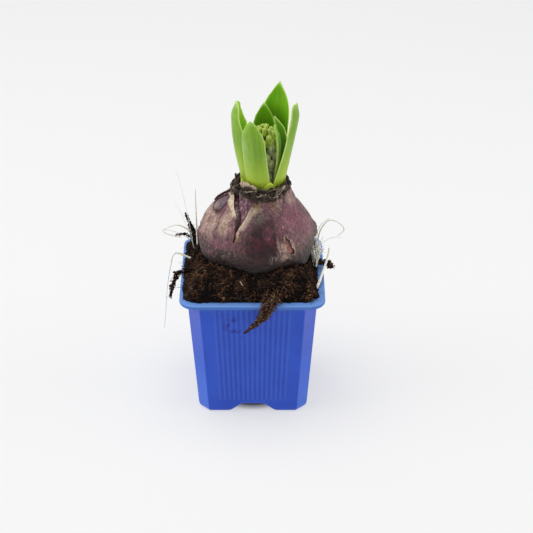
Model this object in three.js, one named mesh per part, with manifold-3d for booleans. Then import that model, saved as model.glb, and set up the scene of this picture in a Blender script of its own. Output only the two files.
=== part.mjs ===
// A forced hyacinth: one large bulb sprouting in a square 7 cm nursery pot.
// Millimetres, +Z up. The origin is on the ground, under the middle of the pot; -Y is the front.
// The pot stands on four feet. Peat fills it and is heaped round the bulb, whose torn papery
// tunic leaves a wedge of inner skin bare. Seven fleshy leaves and the budded flower spike
// stand in the bulb's neck, and a few dry roots and peat strands stray over the rim.
import * as THREE from "three";
import { mergeVertices } from "three/addons/utils/BufferGeometryUtils.js";
import Module from "manifold-3d";

const wasm = await Module();
wasm.setup();

// ---------------------------------------------------------------- driving dimensions
const GAP = 0.3; // clearance between pieces that touch
const POT = {
  height: 66,
  topHalf: 30.6, // half the body's width under the rim
  footHalf: 26.8, // half the body's width at the ground
  chamfer: 5.2,
  wall: 1.1,
};
const RIM = { half: 35, radius: 8, drop: 2, skin: 1, round: 0.45 };
const RIB = { count: 15, share: 0.72, width: 0.9, height: 0.4, low: 7.5, high: 63.2 };
const CHANNEL = { footHalf: 12, roofHalf: 6, height: 4.5 }; // the arched vents between the feet
const DRAIN = { radius: 2.6, armRadius: 2.2, reach: 16 };
const BULB = { x: 2.3, y: 3, neckX: 4.5, shoulder: 102, neckTop: 112.5 };
const NECK = { x: 5.2, y: 3, bore: 10.2, flare: 0.1, floor: 105.5 }; // the hole that the leaves stand in
const TUNIC = { skin: 0.9, foot: 65, top: 110, rag: 1.6 }; // rag in degrees
const COLLAR = { inner: 12.6, thick: 1, foot: 112, rim: 114.2, rag: 2.8, high: 1.3, highTurn: -50 };
const SOIL = { edge: 65.4, heap: 9.6, frontHeap: 13, slope: 9, lump: 1.2, floor: 1.5, spill: 32.4 };

// ---------------------------------------------------------------- small tools
const degrees = (a) => (a * Math.PI) / 180;
const mix = (a, b, t) => a + (b - a) * t;
const clamp01 = (t) => Math.min(1, Math.max(0, t));
const smooth = (t) => clamp01(t) ** 2 * (3 - 2 * clamp01(t));

// A repeatable value from 0 to 1 for a lattice point.
function hash(i, j, seed) {
  const s = Math.sin(i * 127.1 + j * 311.7 + seed * 74.7) * 43758.5453;
  return s - Math.floor(s);
}

// Smooth value noise from -1 to 1.
function noise(x, y, seed) {
  const i = Math.floor(x);
  const j = Math.floor(y);
  const u = smooth(x - i);
  const v = smooth(y - j);
  const low = mix(hash(i, j, seed), hash(i + 1, j, seed), u);
  const high = mix(hash(i, j + 1, seed), hash(i + 1, j + 1, seed), u);
  return 2 * mix(low, high, v) - 1;
}

// The value at a key on a smooth curve through [key, value] pairs.
function through(pairs, at) {
  const points = pairs.map(([k, v]) => new THREE.Vector2(k, v));
  const last = points.length - 1;
  if (at <= points[0].x) return points[0].y;
  if (at >= points[last].x) return points[last].y;
  const i = points.findIndex((p, n) => n < last && at <= points[n + 1].x);
  const before = points[Math.max(0, i - 1)];
  const after = points[Math.min(last, i + 2)];
  const [a, b] = [points[i], points[i + 1]];
  const t = (at - a.x) / (b.x - a.x);
  const slopeA = ((b.y - before.y) / (b.x - before.x)) * (b.x - a.x);
  const slopeB = ((after.y - a.y) / (after.x - a.x)) * (b.x - a.x);
  const t2 = t * t;
  const t3 = t2 * t;
  return (
    (2 * t3 - 3 * t2 + 1) * a.y + (t3 - 2 * t2 + t) * slopeA + (3 * t2 - 2 * t3) * b.y + (t3 - t2) * slopeB
  );
}

// A closed surface through rings of points, with a flat fan over each end.
function loft(rings, closedLoop = false) {
  const count = rings[0].length;
  const position = rings.flat().flatMap((p) => [p.x, p.y, p.z]);
  const index = [];
  const joins = closedLoop ? rings.length : rings.length - 1;
  for (let r = 0; r < joins; r++)
    for (let i = 0; i < count; i++) {
      const [a, b] = [r * count + i, r * count + ((i + 1) % count)];
      const next = ((r + 1) % rings.length) * count;
      const [c, d] = [next + i, next + ((i + 1) % count)];
      index.push(a, b, d, a, d, c);
    }
  if (!closedLoop)
    for (const [ring, first] of [
      [rings[0], true],
      [rings[rings.length - 1], false],
    ]) {
      const middle = ring.reduce((s, p) => s.add(p), new THREE.Vector3()).divideScalar(count);
      const hub = position.push(middle.x, middle.y, middle.z) / 3 - 1;
      const start = first ? 0 : (rings.length - 1) * count;
      for (let i = 0; i < count; i++) {
        const [a, b] = [start + i, start + ((i + 1) % count)];
        if (first) index.push(b, a, hub);
        else index.push(a, b, hub);
      }
    }
  const geometry = new THREE.BufferGeometry();
  geometry.setAttribute("position", new THREE.Float32BufferAttribute(position, 3));
  geometry.setIndex(index);
  return geometry;
}

// A closed geometry as a solid for joining and cutting.
function solid(geometry) {
  const bare = geometry.clone();
  bare.deleteAttribute("normal");
  bare.deleteAttribute("uv");
  const merged = mergeVertices(bare, 1e-4);
  const made = new wasm.Manifold(
    new wasm.Mesh({
      numProp: 3,
      vertProperties: new Float32Array(merged.attributes.position.array),
      triVerts: new Uint32Array(merged.index.array),
    }),
  );
  if (made.volume() < 0) throw new Error("a closed surface faces inwards");
  return made;
}

// The solid's largest body: loose scraps of a cut are dropped.
function largest(shape) {
  return shape.decompose().reduce((best, s) => (s.volume() > best.volume() ? s : best));
}

function geometryOf(shape) {
  const mesh = shape.getMesh();
  const geometry = new THREE.BufferGeometry();
  const position = new Float32Array(mesh.numVert * 3);
  for (let i = 0; i < mesh.numVert; i++)
    position.set(mesh.vertProperties.subarray(i * mesh.numProp, i * mesh.numProp + 3), i * 3);
  geometry.setAttribute("position", new THREE.BufferAttribute(position, 3));
  geometry.setIndex(new THREE.BufferAttribute(mesh.triVerts, 1));
  geometry.computeVertexNormals();
  return geometry;
}

// ---------------------------------------------------------------- materials
const material = (color, roughness) => new THREE.MeshStandardMaterial({ color, roughness, metalness: 0 });
const MATERIALS = {
  plastic: material(0x3b55c4, 0.35),
  peat: material(0x2c1a10, 0.95),
  flesh: material(0x7d5068, 0.6),
  tunic: material(0x6b4250, 0.7),
  dryCollar: material(0x4a3a30, 0.9),
  leaf: material(0x6fa531, 0.45),
  buds: material(0x9ab04c, 0.5),
  root: material(0xe6e0c0, 0.7),
};
const plant = new THREE.Group();

function add(name, shape, finish) {
  const mesh = new THREE.Mesh(geometryOf(shape), finish);
  mesh.name = name;
  plant.add(mesh);
}

// ---------------------------------------------------------------- pot
const potHalf = (z) => mix(POT.footHalf, POT.topHalf, z / (POT.height - RIM.drop));

// A square ring with cut corners, drawn anticlockwise from the front left.
function chamferedRing(half, chamfer, z) {
  const flat = half - chamfer;
  const corners = [
    [-flat, -half],
    [flat, -half],
    [half, -flat],
    [half, flat],
    [flat, half],
    [-flat, half],
    [-half, flat],
    [-half, -flat],
  ];
  return corners.map(([x, y]) => new THREE.Vector3(x, y, z));
}

// The pot's tapered form, taken in by inset all round, between two heights.
function taperedBody(inset, low, high) {
  const chamfer = POT.chamfer - inset * (2 - Math.SQRT2);
  return solid(loft([low, high].map((z) => chamferedRing(potHalf(z) - inset, chamfer, z))));
}

function roundedSquare(half, radius) {
  const flat = half - radius;
  return new THREE.Shape()
    .moveTo(-flat, -half)
    .lineTo(flat, -half)
    .absarc(flat, -flat, radius, -Math.PI / 2, 0, false)
    .lineTo(half, flat)
    .absarc(flat, flat, radius, 0, Math.PI / 2, false)
    .lineTo(-flat, half)
    .absarc(-flat, flat, radius, Math.PI / 2, Math.PI, false)
    .lineTo(-half, -flat)
    .absarc(-flat, -flat, radius, Math.PI, 1.5 * Math.PI, false);
}

// The two arched vents that cross under the floor, grown by a margin.
function channels(grow) {
  const { footHalf, roofHalf, height } = CHANNEL;
  const reach = 40;
  const side = grow * 1.15; // the slanting side moves out a little more than the roof moves up
  const arch = new THREE.Shape()
    .moveTo(-footHalf - side, -2)
    .lineTo(footHalf + side, -2)
    .lineTo(footHalf + side, 0)
    .bezierCurveTo(footHalf - 3 + side, 0, roofHalf + 3 + side, height + grow, roofHalf + side, height + grow)
    .lineTo(-roofHalf - side, height + grow)
    .bezierCurveTo(-roofHalf - 3 - side, height + grow, -footHalf + 3 - side, 0, -footHalf - side, 0);
  const tunnel = () =>
    new THREE.ExtrudeGeometry(arch, { depth: 2 * reach, bevelEnabled: false, curveSegments: 4 })
      .translate(0, 0, -reach)
      .rotateX(Math.PI / 2);
  return solid(tunnel()).add(solid(tunnel().rotateZ(Math.PI / 2)));
}

// One upright rib on the front face, following the taper, from foot to rim.
function rib(place) {
  const section = (z) => {
    const x = place * (potHalf(z) - POT.chamfer);
    const y = -potHalf(z);
    const root = 0.4; // the rib's root is sunk into the wall
    return [
      new THREE.Vector3(x - RIB.width / 2, y + root, z),
      new THREE.Vector3(x, y - RIB.height, z),
      new THREE.Vector3(x + RIB.width / 2, y + root, z),
    ];
  };
  return loft([section(RIB.low), section(RIB.high)]);
}

function drainHole(radius, x, y) {
  return solid(new THREE.CylinderGeometry(radius, radius, 6, 10).rotateX(Math.PI / 2).translate(x, y, 5));
}

function makePot() {
  const rimFoot = POT.height - RIM.drop;
  const body = taperedBody(0, 0, POT.height - 0.4);
  const lip = new THREE.ExtrudeGeometry(roundedSquare(RIM.half - RIM.round, RIM.radius - RIM.round), {
    depth: RIM.drop - 2 * RIM.round,
    bevelThickness: RIM.round,
    bevelSize: RIM.round,
    bevelSegments: 2,
    curveSegments: 5,
  }).translate(0, 0, rimFoot + RIM.round);
  const undercutDepth = RIM.drop - RIM.skin;
  const undercut = new THREE.ExtrudeGeometry(roundedSquare(RIM.half - RIM.skin, RIM.radius - RIM.skin), {
    depth: undercutDepth + 1,
    bevelEnabled: false,
    curveSegments: 5,
  }).translate(0, 0, rimFoot - 1);
  let pot = solid(lip).subtract(solid(undercut)).add(body);
  for (let side = 0; side < 4; side++)
    for (let n = 0; n < RIB.count; n++) {
      const place = RIB.share * ((2 * n) / (RIB.count - 1) - 1);
      pot = pot.add(solid(rib(place).rotateZ((side * Math.PI) / 2)));
    }
  const cavity = taperedBody(POT.wall, POT.wall, POT.height + 2).subtract(channels(POT.wall));
  pot = pot.subtract(channels(0)).subtract(cavity).subtract(drainHole(DRAIN.radius, 0, 0));
  for (let arm = 0; arm < 4; arm++) {
    const turn = (arm * Math.PI) / 2;
    pot = pot.subtract(
      drainHole(DRAIN.armRadius, DRAIN.reach * Math.cos(turn), DRAIN.reach * Math.sin(turn)),
    );
  }
  return largest(pot);
}

// ---------------------------------------------------------------- bulb and its papery tunic
// Radius by height: a flat basal plate, the full girth a little low, then shoulders up to the neck.
const BULB_PROFILE = [
  [59, 9],
  [61, 16],
  [66, 21.6],
  [72, 25.5],
  [79, 28],
  [86, 28.5],
  [93, 26.2],
  [99, 22.2],
  [104, 17.5],
  [107.5, 15],
  [110, 14.2],
  [112.5, 13.5],
];

// A point of the bulb's outside; turn is the angle from the front, towards +X.
function bulbPoint(turn, z, out = 0) {
  const swell = 1 + 0.012 * Math.sin(3 * turn + 0.6) + 0.008 * Math.sin(5 * turn + z * 0.05);
  const shoulder = smooth((BULB.neckTop - z) / 14); // the neck itself stays round
  const radius = through(BULB_PROFILE, z) * mix(1, swell, shoulder) + out;
  const lean = smooth((z - BULB.shoulder) / (BULB.neckTop - 2 - BULB.shoulder));
  const x = mix(BULB.x, BULB.neckX, lean);
  return new THREE.Vector3(x + radius * Math.sin(turn), BULB.y - radius * Math.cos(turn), z);
}

const BULB_ROWS = [
  59, 60.5, 62.5, TUNIC.foot, 70, 76, 82, 87, 91, 95, 99, 102.5, 105.5, 108, TUNIC.top, BULB.neckTop,
];

// The bulb's form, grown all round and downwards.
function bulbForm(out) {
  const turns = 48;
  const rings = BULB_ROWS.map((z) =>
    Array.from({ length: turns }, (_, i) => bulbPoint((2 * Math.PI * i) / turns, z, out)),
  );
  for (const p of rings[0]) p.z -= out;
  return solid(loft(rings));
}

function makeBulb() {
  const rise = BULB.neckTop + 2 - NECK.floor;
  const bore = new THREE.CylinderGeometry(NECK.bore + NECK.flare * rise, NECK.bore, rise, 36)
    .rotateX(Math.PI / 2)
    .translate(NECK.x, NECK.y, NECK.floor + rise / 2);
  return bulbForm(-TUNIC.skin - GAP).subtract(solid(bore));
}

// A slice of the tunic's room, seen from above, between two ragged side edges and under a
// ragged top. Each edge gives the angle from the front at each height.
function slice(leftEdge, rightEdge, seed) {
  const arc = 14;
  const far = 45;
  const rings = BULB_ROWS.filter((z) => z >= TUNIC.foot && z <= TUNIC.top).map((z) => {
    const lean = bulbPoint(0, z);
    const left = leftEdge(z) + degrees(TUNIC.rag) * noise(z * 0.31, seed, 5);
    const right = rightEdge(z) + degrees(TUNIC.rag) * noise(z * 0.37, seed, 9);
    const around = Array.from({ length: arc + 1 }, (_, i) => {
      const turn = mix(left, right, i / arc);
      const rag = z === TUNIC.top ? 1.4 * noise(i * 0.8, seed, 3) - 1 : 0;
      return new THREE.Vector3(lean.x + far * Math.sin(turn), BULB.y - far * Math.cos(turn), z + rag);
    });
    return [new THREE.Vector3(lean.x, BULB.y, z), ...around];
  });
  return solid(loft(rings));
}

// The bare wedge opens from its foot on the front left up to the neck.
const WEDGE = { foot: 97, left: -28, leftTop: -66, right: -24, rightTop: -14 };
const wedgeOpen = (z) => clamp01((z - WEDGE.foot) / (TUNIC.top - WEDGE.foot));
const wedgeLeft = (z) => degrees(mix(WEDGE.left, WEDGE.leftTop, wedgeOpen(z) ** 1.3));
const wedgeRight = (z) => degrees(mix(WEDGE.right, WEDGE.rightTop, wedgeOpen(z)));

// ---------------------------------------------------------------- dry collar round the neck
// Withered tips of old leaves and scales: a ring with a ragged, leaning crown.
function makeCollar() {
  const turns = 44;
  const { inner, thick, foot, rim, rag, high, highTurn } = COLLAR;
  const sections = Array.from({ length: turns }, (_, i) => {
    const turn = (2 * Math.PI * i) / turns;
    const crown = rim + rag * (0.5 + 0.5 * noise(i * 0.9, 2, 7)) + high * Math.cos(turn - degrees(highTurn));
    const leanOut = 0.7 * (0.5 + 0.5 * noise(i * 0.7, 5, 3));
    const point = (radius, z) =>
      new THREE.Vector3(BULB.neckX + radius * Math.sin(turn), BULB.y - radius * Math.cos(turn), z);
    return [
      point(inner, foot + 0.4),
      point(inner + 1.8, foot + 0.2),
      point(inner + 1.5, foot + 1.2),
      point(inner + thick + 0.2, foot + 2.2),
      point(inner + thick * 0.8 + leanOut, crown),
      point(inner + leanOut * 0.7, crown - 0.5),
      point(inner, foot + 1.8),
    ].reverse();
  });
  return solid(loft(sections, true));
}

// ---------------------------------------------------------------- leaves
// A fleshy, hooded blade. turn is its place round the neck, from the front towards +X.
// stem is the midrib's distance from the neck's axis at the foot and lean how far the tip moves
// out, belly how far the upper half bows out, and drift how far the tip strays sideways.
// width is straight across the widest part, foot across the foot, curl the radius that the
// blade is rolled to, and point how late and bluntly it narrows to the tip.
const LEAVES = {
  leaf_left: {
    turn: -103, stem: 8.4, lean: 6.4, belly: 1.8, drift: -1,
    width: 12.4, foot: 10, curl: 7, tip: 153.6, point: 3.2,
  },
  leaf_front: {
    turn: -18, stem: 8.4, lean: 4.4, belly: 1.4, drift: -2.6,
    width: 11.4, foot: 10.4, curl: 8, tip: 149.4, point: 3.2,
  },
  leaf_right: {
    turn: 62, stem: 8.2, lean: 10.4, belly: 0.3, drift: 0.5,
    width: 10.4, foot: 10, curl: 7, tip: 157.9, point: 2.6,
  },
  leaf_back_tall: {
    turn: 150, stem: 8.4, lean: 5.4, belly: 1.6, drift: -2.2,
    width: 15, foot: 10.8, curl: 8.4, tip: 161.3, point: 2,
  },
  leaf_back_inner: {
    turn: 174, stem: 5.7, lean: 3.4, belly: 1, drift: 0.3,
    width: 11.6, foot: 8, curl: 7, tip: 151, point: 2.2,
  },
  leaf_inner_back: {
    turn: 102, stem: 5.7, lean: 1.8, belly: 2.4, drift: 1.6,
    width: 5.4, foot: 4.4, curl: 4, tip: 146.4, point: 2.8,
  },
  leaf_inner_right: {
    turn: 54, stem: 5.7, lean: 1.8, belly: 2.2, drift: 0.4,
    width: 5, foot: 4, curl: 4, tip: 145, point: 2.8,
  },
};
const LEAF = { foot: NECK.floor + GAP, rings: 13, columns: 6, rib: 1.6, edge: 0.65, taper: 0.62, hood: 1.6 };

function leaf({ turn, stem, lean, belly, drift, width, foot, curl, tip, point }) {
  const angle = degrees(turn);
  const outward = new THREE.Vector3(Math.sin(angle), -Math.cos(angle), 0);
  const sideways = new THREE.Vector3(Math.cos(angle), Math.sin(angle), 0);
  const midrib = (t) => {
    const hook = LEAF.hood * smooth((t - 0.86) / 0.14); // the tip hooks back in
    const out = stem + lean * t + belly * Math.sin(Math.PI * t ** 1.4) - hook;
    return new THREE.Vector3(NECK.x, NECK.y, mix(LEAF.foot, tip, t))
      .addScaledVector(outward, out)
      .addScaledVector(sideways, drift * t * t);
  };
  const rings = Array.from({ length: LEAF.rings }, (_, r) => {
    const t = 1 - (1 - r / (LEAF.rings - 1)) ** 1.35; // closer together near the tip
    const along = midrib(Math.min(1, t + 0.01)).sub(midrib(Math.max(0, t - 0.01))).normalize();
    const normal = new THREE.Vector3().crossVectors(sideways, along).normalize();
    const taper = clamp01((t - LEAF.taper) / (1 - LEAF.taper));
    const half = (mix(foot, width, smooth(t / LEAF.taper)) / 2) * Math.max(0.07, 1 - taper ** point);
    const rolled = mix(stem, curl, smooth(t / 0.5));
    const radius = mix(rolled, half / Math.sin(degrees(58)), smooth(taper * 1.3));
    const bend = Math.asin(Math.min(0.95, half / radius));
    const skin = mix(1, 0.75, smooth((t - 0.8) / 0.2));
    const at = (u, side) => {
      const around = u * bend;
      const facing = normal.clone().multiplyScalar(Math.cos(around));
      facing.addScaledVector(sideways, Math.sin(around));
      const thick = mix(LEAF.rib, LEAF.edge, u * u) * skin;
      return midrib(t)
        .addScaledVector(normal, -radius)
        .addScaledVector(facing, radius + (side * thick) / 2);
    };
    const across = Array.from({ length: LEAF.columns + 1 }, (_, i) => (2 * i) / LEAF.columns - 1);
    return across.map((u) => at(u, 1)).concat(across.map((u) => at(u, -1)).reverse());
  });
  return solid(loft(rings));
}

// ---------------------------------------------------------------- flower spike, still in bud
const SPIKE = { x: 6, y: 3, foot: NECK.floor + GAP, stem: 3.5, top: 145, girth: 5.9, rows: 5, perRow: 6 };
const BUD = { length: 7.8, radius: 1.6, low: 120.3 };

// Buds stand upright against the stem in whorls that turn by half a place, and lean in at the top.
function makeSpike() {
  const core = [
    [0, SPIKE.foot],
    [SPIKE.stem, SPIKE.foot],
    [SPIKE.stem, 119],
    [SPIKE.girth - 1.9, 123],
    [SPIKE.girth - 1.9, 134],
    [3.2, 141],
    [0, 143],
  ];
  const lathe = new THREE.LatheGeometry(
    core.map(([r, z]) => new THREE.Vector2(r, z)),
    12,
  );
  const bud = (size, tilt, away, turn, z) =>
    new THREE.SphereGeometry(1, 6, 4)
      .rotateX(Math.PI / 2)
      .scale(BUD.radius * size, BUD.radius * size, (BUD.length / 2) * size)
      .rotateX(-degrees(tilt))
      .translate(0, -away, z)
      .rotateZ(turn)
      .translate(SPIKE.x, SPIKE.y, 0);
  let spike = solid(lathe.rotateX(Math.PI / 2).translate(SPIKE.x, SPIKE.y, 0));
  for (let row = 0; row < SPIKE.rows; row++) {
    const share = row / (SPIKE.rows - 1);
    const z = mix(BUD.low + BUD.length / 2, SPIKE.top - BUD.length * 0.52, share);
    const size = mix(1.05, 0.92, share);
    const away = SPIKE.girth - BUD.radius * size - 1.5 * smooth((share - 0.5) * 2);
    const tilt = mix(-5, 16, smooth((share - 0.4) / 0.6)); // upper buds lean in over the top
    for (let n = 0; n < SPIKE.perRow; n++) {
      const turn = (2 * Math.PI * (n + (row % 2) / 2 + 0.12 * hash(n, row, 4))) / SPIKE.perRow;
      spike = spike.add(solid(bud(size, tilt, away, turn, z + 1.1 * (hash(row, n, 8) - 0.5))));
    }
  }
  for (let n = 0; n < 3; n++)
    spike = spike.add(solid(bud(0.8, 10, 1.6, (2 * Math.PI * (n + 0.3)) / 3, SPIKE.top - BUD.length * 0.42)));
  return largest(spike);
}

// ---------------------------------------------------------------- strands and roots
// A tube through points of [x, y, z, radius], with pinched round ends.
function strand(points, sides, steps, rough = 0) {
  const path = new THREE.CatmullRomCurve3(points.map(([x, y, z]) => new THREE.Vector3(x, y, z)));
  const frames = path.computeFrenetFrames(steps, false);
  const last = points.length - 1;
  const rings = Array.from({ length: steps + 1 }, (_, s) => {
    const t = path.getUtoTmapping(s / steps) * last;
    const i = Math.min(last - 1, Math.floor(t));
    const radius = mix(points[i][3], points[i + 1][3], t - i);
    return Array.from({ length: sides }, (_, k) => {
      const around = (2 * Math.PI * k) / sides;
      const bump = radius * (1 + rough * noise(s * 0.9 + 3, k * 1.3, points.length));
      return path
        .getPointAt(s / steps)
        .addScaledVector(frames.normals[s], Math.cos(around) * bump)
        .addScaledVector(frames.binormals[s], Math.sin(around) * bump);
    });
  });
  return solid(loft(rings));
}

const EDGE = 45.5; // the furthest reach of the stray roots to either side

// Fibrous peat that hangs over the rim or stands up from the heap, grown together with it.
const PEAT_STRANDS = {
  front: [
    [10, -22, 68, 4],
    [8.6, -28, 69.2, 3.4],
    [7.2, -33, 69.2, 2.5],
    [5.6, -36.9, 66.6, 1.9],
    [3.4, -37.4, 61.8, 1.7],
    [-0.4, -37.4, 56.6, 1.1],
    [-4.2, -37.4, 52.4, 0.45],
  ],
  left_up: [
    [-26, 16, 66, 2],
    [-29, 16, 72, 1.7],
    [-30.2, 16, 79, 1.5],
    [-31.6, 16, 84, 1],
    [-33.4, 16, 90, 0.45],
  ],
  left_down: [
    [-27, -2, 67, 2.4],
    [-32.5, -4, 69.4, 2.2],
    [-37.8, -6, 66, 1.6],
    [-40, -8, 60.5, 1.2],
    [-40.6, -9, 55, 0.45],
  ],
  right_clump: [
    [27, 2, 68, 2.4],
    [32.5, 2, 69.6, 2.4],
    [36.4, 1.6, 69.2, 2.2],
    [39.6, 1, 66.6, 0.7],
  ],
  back: [
    [-9, 24, 67, 3.4],
    [-10, 29, 69.2, 2.8],
    [-11, 33.4, 69.2, 2.2],
    [-12, 36.9, 66.4, 1.7],
    [-13, 37.5, 61, 1.1],
    [-14.5, 37.5, 56.5, 0.45],
  ],
};

// Dry pale roots, each a piece of its own, standing in the peat.
const ROOTS = {
  root_left_upright: [
    [-27, 13, 68, 0.45],
    [-27.6, 12, 78, 0.5],
    [-27.8, 11, 92, 0.4],
    [-27.9, 10, 106, 0.35],
  ],
  root_left_loop: [
    [-26.5, 21, 69, 0.45],
    [-31, 22.5, 75, 0.4],
    [-38, 22, 79.4, 0.38],
    [-EDGE + 0.4, 21, 76.5, 0.35],
    [-39.5, 20, 74.2, 0.35],
    [-36, 20, 73.6, 0.35],
  ],
  root_left_hanging: [
    [-27, 4.5, 68, 0.5],
    [-32, 5, 70.6, 0.55],
    [-38.4, 4.6, 73, 0.5],
    [-40.6, 2, 67, 0.4],
    [-42.4, 0, 56, 0.35],
    [-43.4, -2, 44, 0.35],
    [-44.4, -3, 34.5, 0.35],
  ],
  root_right_upright: [
    [28.4, -14, 66, 0.6],
    [31.2, -12.5, 68.4, 0.6],
    [34.8, -8, 72.4, 0.55],
    [36.8, -4, 77, 0.45],
    [37.4, -2, 82, 0.35],
  ],
  root_right_curl: [
    [28.6, 10, 67.5, 0.5],
    [31.6, 11, 74, 0.5],
    [33.6, 12, 82, 0.45],
    [37.6, 12, 87.4, 0.4],
    [EDGE - 3, 11.6, 86.2, 0.35],
    [EDGE - 0.4, 11.2, 82.6, 0.35],
    [EDGE - 3.4, 11, 79.4, 0.35],
  ],
};

const strandSides = 6;
const peatStrands = Object.values(PEAT_STRANDS).map((points) => strand(points, strandSides, 12, 0.45));
const rootTubes = Object.entries(ROOTS).map(([name, points]) => [name, strand(points, 5, 14)]);

// The plain hole that each root stands in: the same route, wider by the gap, with a rounded bottom.
const rootHoles = Object.values(ROOTS).map((points) => {
  const [x, y, z, radius] = points[0];
  const bottom = new THREE.SphereGeometry(radius + 2 * GAP, 6, 4).translate(x, y, z);
  const route = points.map(([px, py, pz, pointRadius]) => [px, py, pz, pointRadius + GAP]);
  return strand(route, 5, 14).add(solid(bottom));
});

// ---------------------------------------------------------------- peat
// Height of the heap: low along the rim, steep up to the bulb and highest in front of it, lumpy all over.
function heapHeight(x, y) {
  const inFromEdge = 33 - Math.max(Math.abs(x), Math.abs(y));
  const heap = mix(SOIL.heap, SOIL.frontHeap, smooth((-y - 6) / 14));
  const leftBack = 1.6 * smooth((-x - 10) / 20) * smooth((y + 5) / 20);
  const lumps = noise(x / 5.2 + 9, y / 5.2 + 4, 1) + 0.6 * noise(x / 2.6, y / 2.6, 2);
  return SOIL.edge + heap * smooth(inFromEdge / SOIL.slope) + leftBack + SOIL.lump * lumps;
}

function makePeat() {
  const cells = 25;
  const span = 68;
  const block = new THREE.BoxGeometry(span, span, 1, cells, cells, 1);
  const at = block.attributes.position;
  for (let i = 0; i < at.count; i++) {
    const top = at.getZ(i) > 0;
    at.setZ(i, top ? heapHeight(at.getX(i), at.getY(i)) : -5);
  }
  const flangeTop = POT.height + GAP;
  const inside = taperedBody(POT.wall + GAP, SOIL.floor, flangeTop).subtract(channels(POT.wall + GAP));
  const overRim = new THREE.ExtrudeGeometry(roundedSquare(RIM.half + GAP, RIM.radius + GAP), {
    depth: RIM.drop + 2 * GAP,
    bevelEnabled: false,
    curveSegments: 5,
  }).translate(0, 0, POT.height - RIM.drop - GAP);
  const rimRoom = solid(overRim).subtract(taperedBody(POT.wall + GAP, 40, POT.height + 2));
  const above = new THREE.ExtrudeGeometry(roundedSquare(SOIL.spill, 7), {
    depth: 30,
    bevelEnabled: false,
    curveSegments: 4,
  }).translate(0, 0, flangeTop);
  let peat = solid(block).intersect(inside.add(solid(above)));
  for (const tube of peatStrands) peat = peat.add(tube.subtract(rimRoom));
  peat = peat.subtract(bulbForm(GAP));
  for (const hole of rootHoles) peat = peat.subtract(hole);
  return largest(peat);
}

// ---------------------------------------------------------------- the whole plant
add("pot", makePot(), MATERIALS.plastic);
add("peat", makePeat(), MATERIALS.peat);
add("bulb", makeBulb(), MATERIALS.flesh);

const tunic = bulbForm(0).subtract(bulbForm(-TUNIC.skin));
const TUNIC_SCALES = {
  tunic_left: slice(() => degrees(-172), wedgeLeft, 1),
  tunic_front: slice(wedgeRight, () => degrees(92), 2),
  tunic_back: slice(() => degrees(96), () => degrees(184), 3),
};
for (const [name, room] of Object.entries(TUNIC_SCALES))
  add(name, largest(tunic.intersect(room)), MATERIALS.tunic);
add("neck_collar", makeCollar(), MATERIALS.dryCollar);

for (const [name, shape] of Object.entries(LEAVES)) add(name, leaf(shape), MATERIALS.leaf);
add("flower_spike", makeSpike(), MATERIALS.buds);
for (const [name, tube] of rootTubes) add(name, tube, MATERIALS.root);

export default plant;
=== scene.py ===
# %% [markdown]
# # A forced hyacinth in a square nursery pot
# This lesson dresses a plain model of a potted hyacinth: a big purple bulb with seven fleshy
# leaves, a flower spike still in bud, dark peat and a ribbed blue pot. Every piece is modelled in
# millimetres, where the sizes are easy to read, and turned to metres as it is finished.
# The plain model is loaded first, as a frame that says where everything is.

# %% Load the frame
import math
import random

import bmesh
import bpy
from mathutils import Matrix, Vector, noise


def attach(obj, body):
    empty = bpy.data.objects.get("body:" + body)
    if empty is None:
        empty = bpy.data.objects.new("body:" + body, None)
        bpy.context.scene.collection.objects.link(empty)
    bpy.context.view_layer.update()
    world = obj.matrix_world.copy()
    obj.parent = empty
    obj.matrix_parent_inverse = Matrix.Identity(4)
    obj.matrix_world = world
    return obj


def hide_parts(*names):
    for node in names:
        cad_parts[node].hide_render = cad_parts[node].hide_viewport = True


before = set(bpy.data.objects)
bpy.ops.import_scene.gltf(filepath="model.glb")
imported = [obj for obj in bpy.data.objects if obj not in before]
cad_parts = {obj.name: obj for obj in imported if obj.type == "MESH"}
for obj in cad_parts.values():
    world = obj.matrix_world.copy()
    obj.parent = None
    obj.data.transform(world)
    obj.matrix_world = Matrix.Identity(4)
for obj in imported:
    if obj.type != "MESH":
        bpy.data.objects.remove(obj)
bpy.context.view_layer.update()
print("frame nodes:", len(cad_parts))

# %% [markdown]
# The camera comes before anything else, so that each piece can be judged from it. It looks down
# by thirty degrees from 80 cm away, with a long lens that keeps the pot's sides nearly parallel.

# %% Camera
def add_object(name, data):
    """Puts data in the scene as an object."""
    made = bpy.data.objects.new(name, data)
    bpy.context.scene.collection.objects.link(made)
    return made


camera_data = bpy.data.cameras.new("studio_camera")
camera_data.sensor_width = 36  # millimetres, like the lens
camera_data.lens = 109.62
camera = add_object("studio_camera", camera_data)
camera.location = (0.0068, -0.6928, 0.466)
aim = Vector((0.0068, 0.0009, 0.0675))
camera.rotation_euler = (aim - camera.location).to_track_quat("-Z", "Y").to_euler()
bpy.context.scene.camera = camera
print("camera distance:", round((aim - camera.location).length, 3), "m")

# %% [markdown]
# Small tools that every step needs: blending numbers, a soft step, and one smooth curve through
# a few given pairs, which is how the bulb's outline is written down.

# %% Small tools
MM = 0.001


def mix(a, b, t):
    """The value a share t of the way from a to b."""
    return a + (b - a) * t


def soft_step(t):
    """0 below 0, 1 above 1, and an S-shaped rise between."""
    t = min(1.0, max(0.0, t))
    return t * t * (3 - 2 * t)


def bump_at(distance, size):
    """1 at no distance, falling softly to 0 at a distance of size."""
    return 1 - soft_step(abs(distance) / size)


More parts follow.
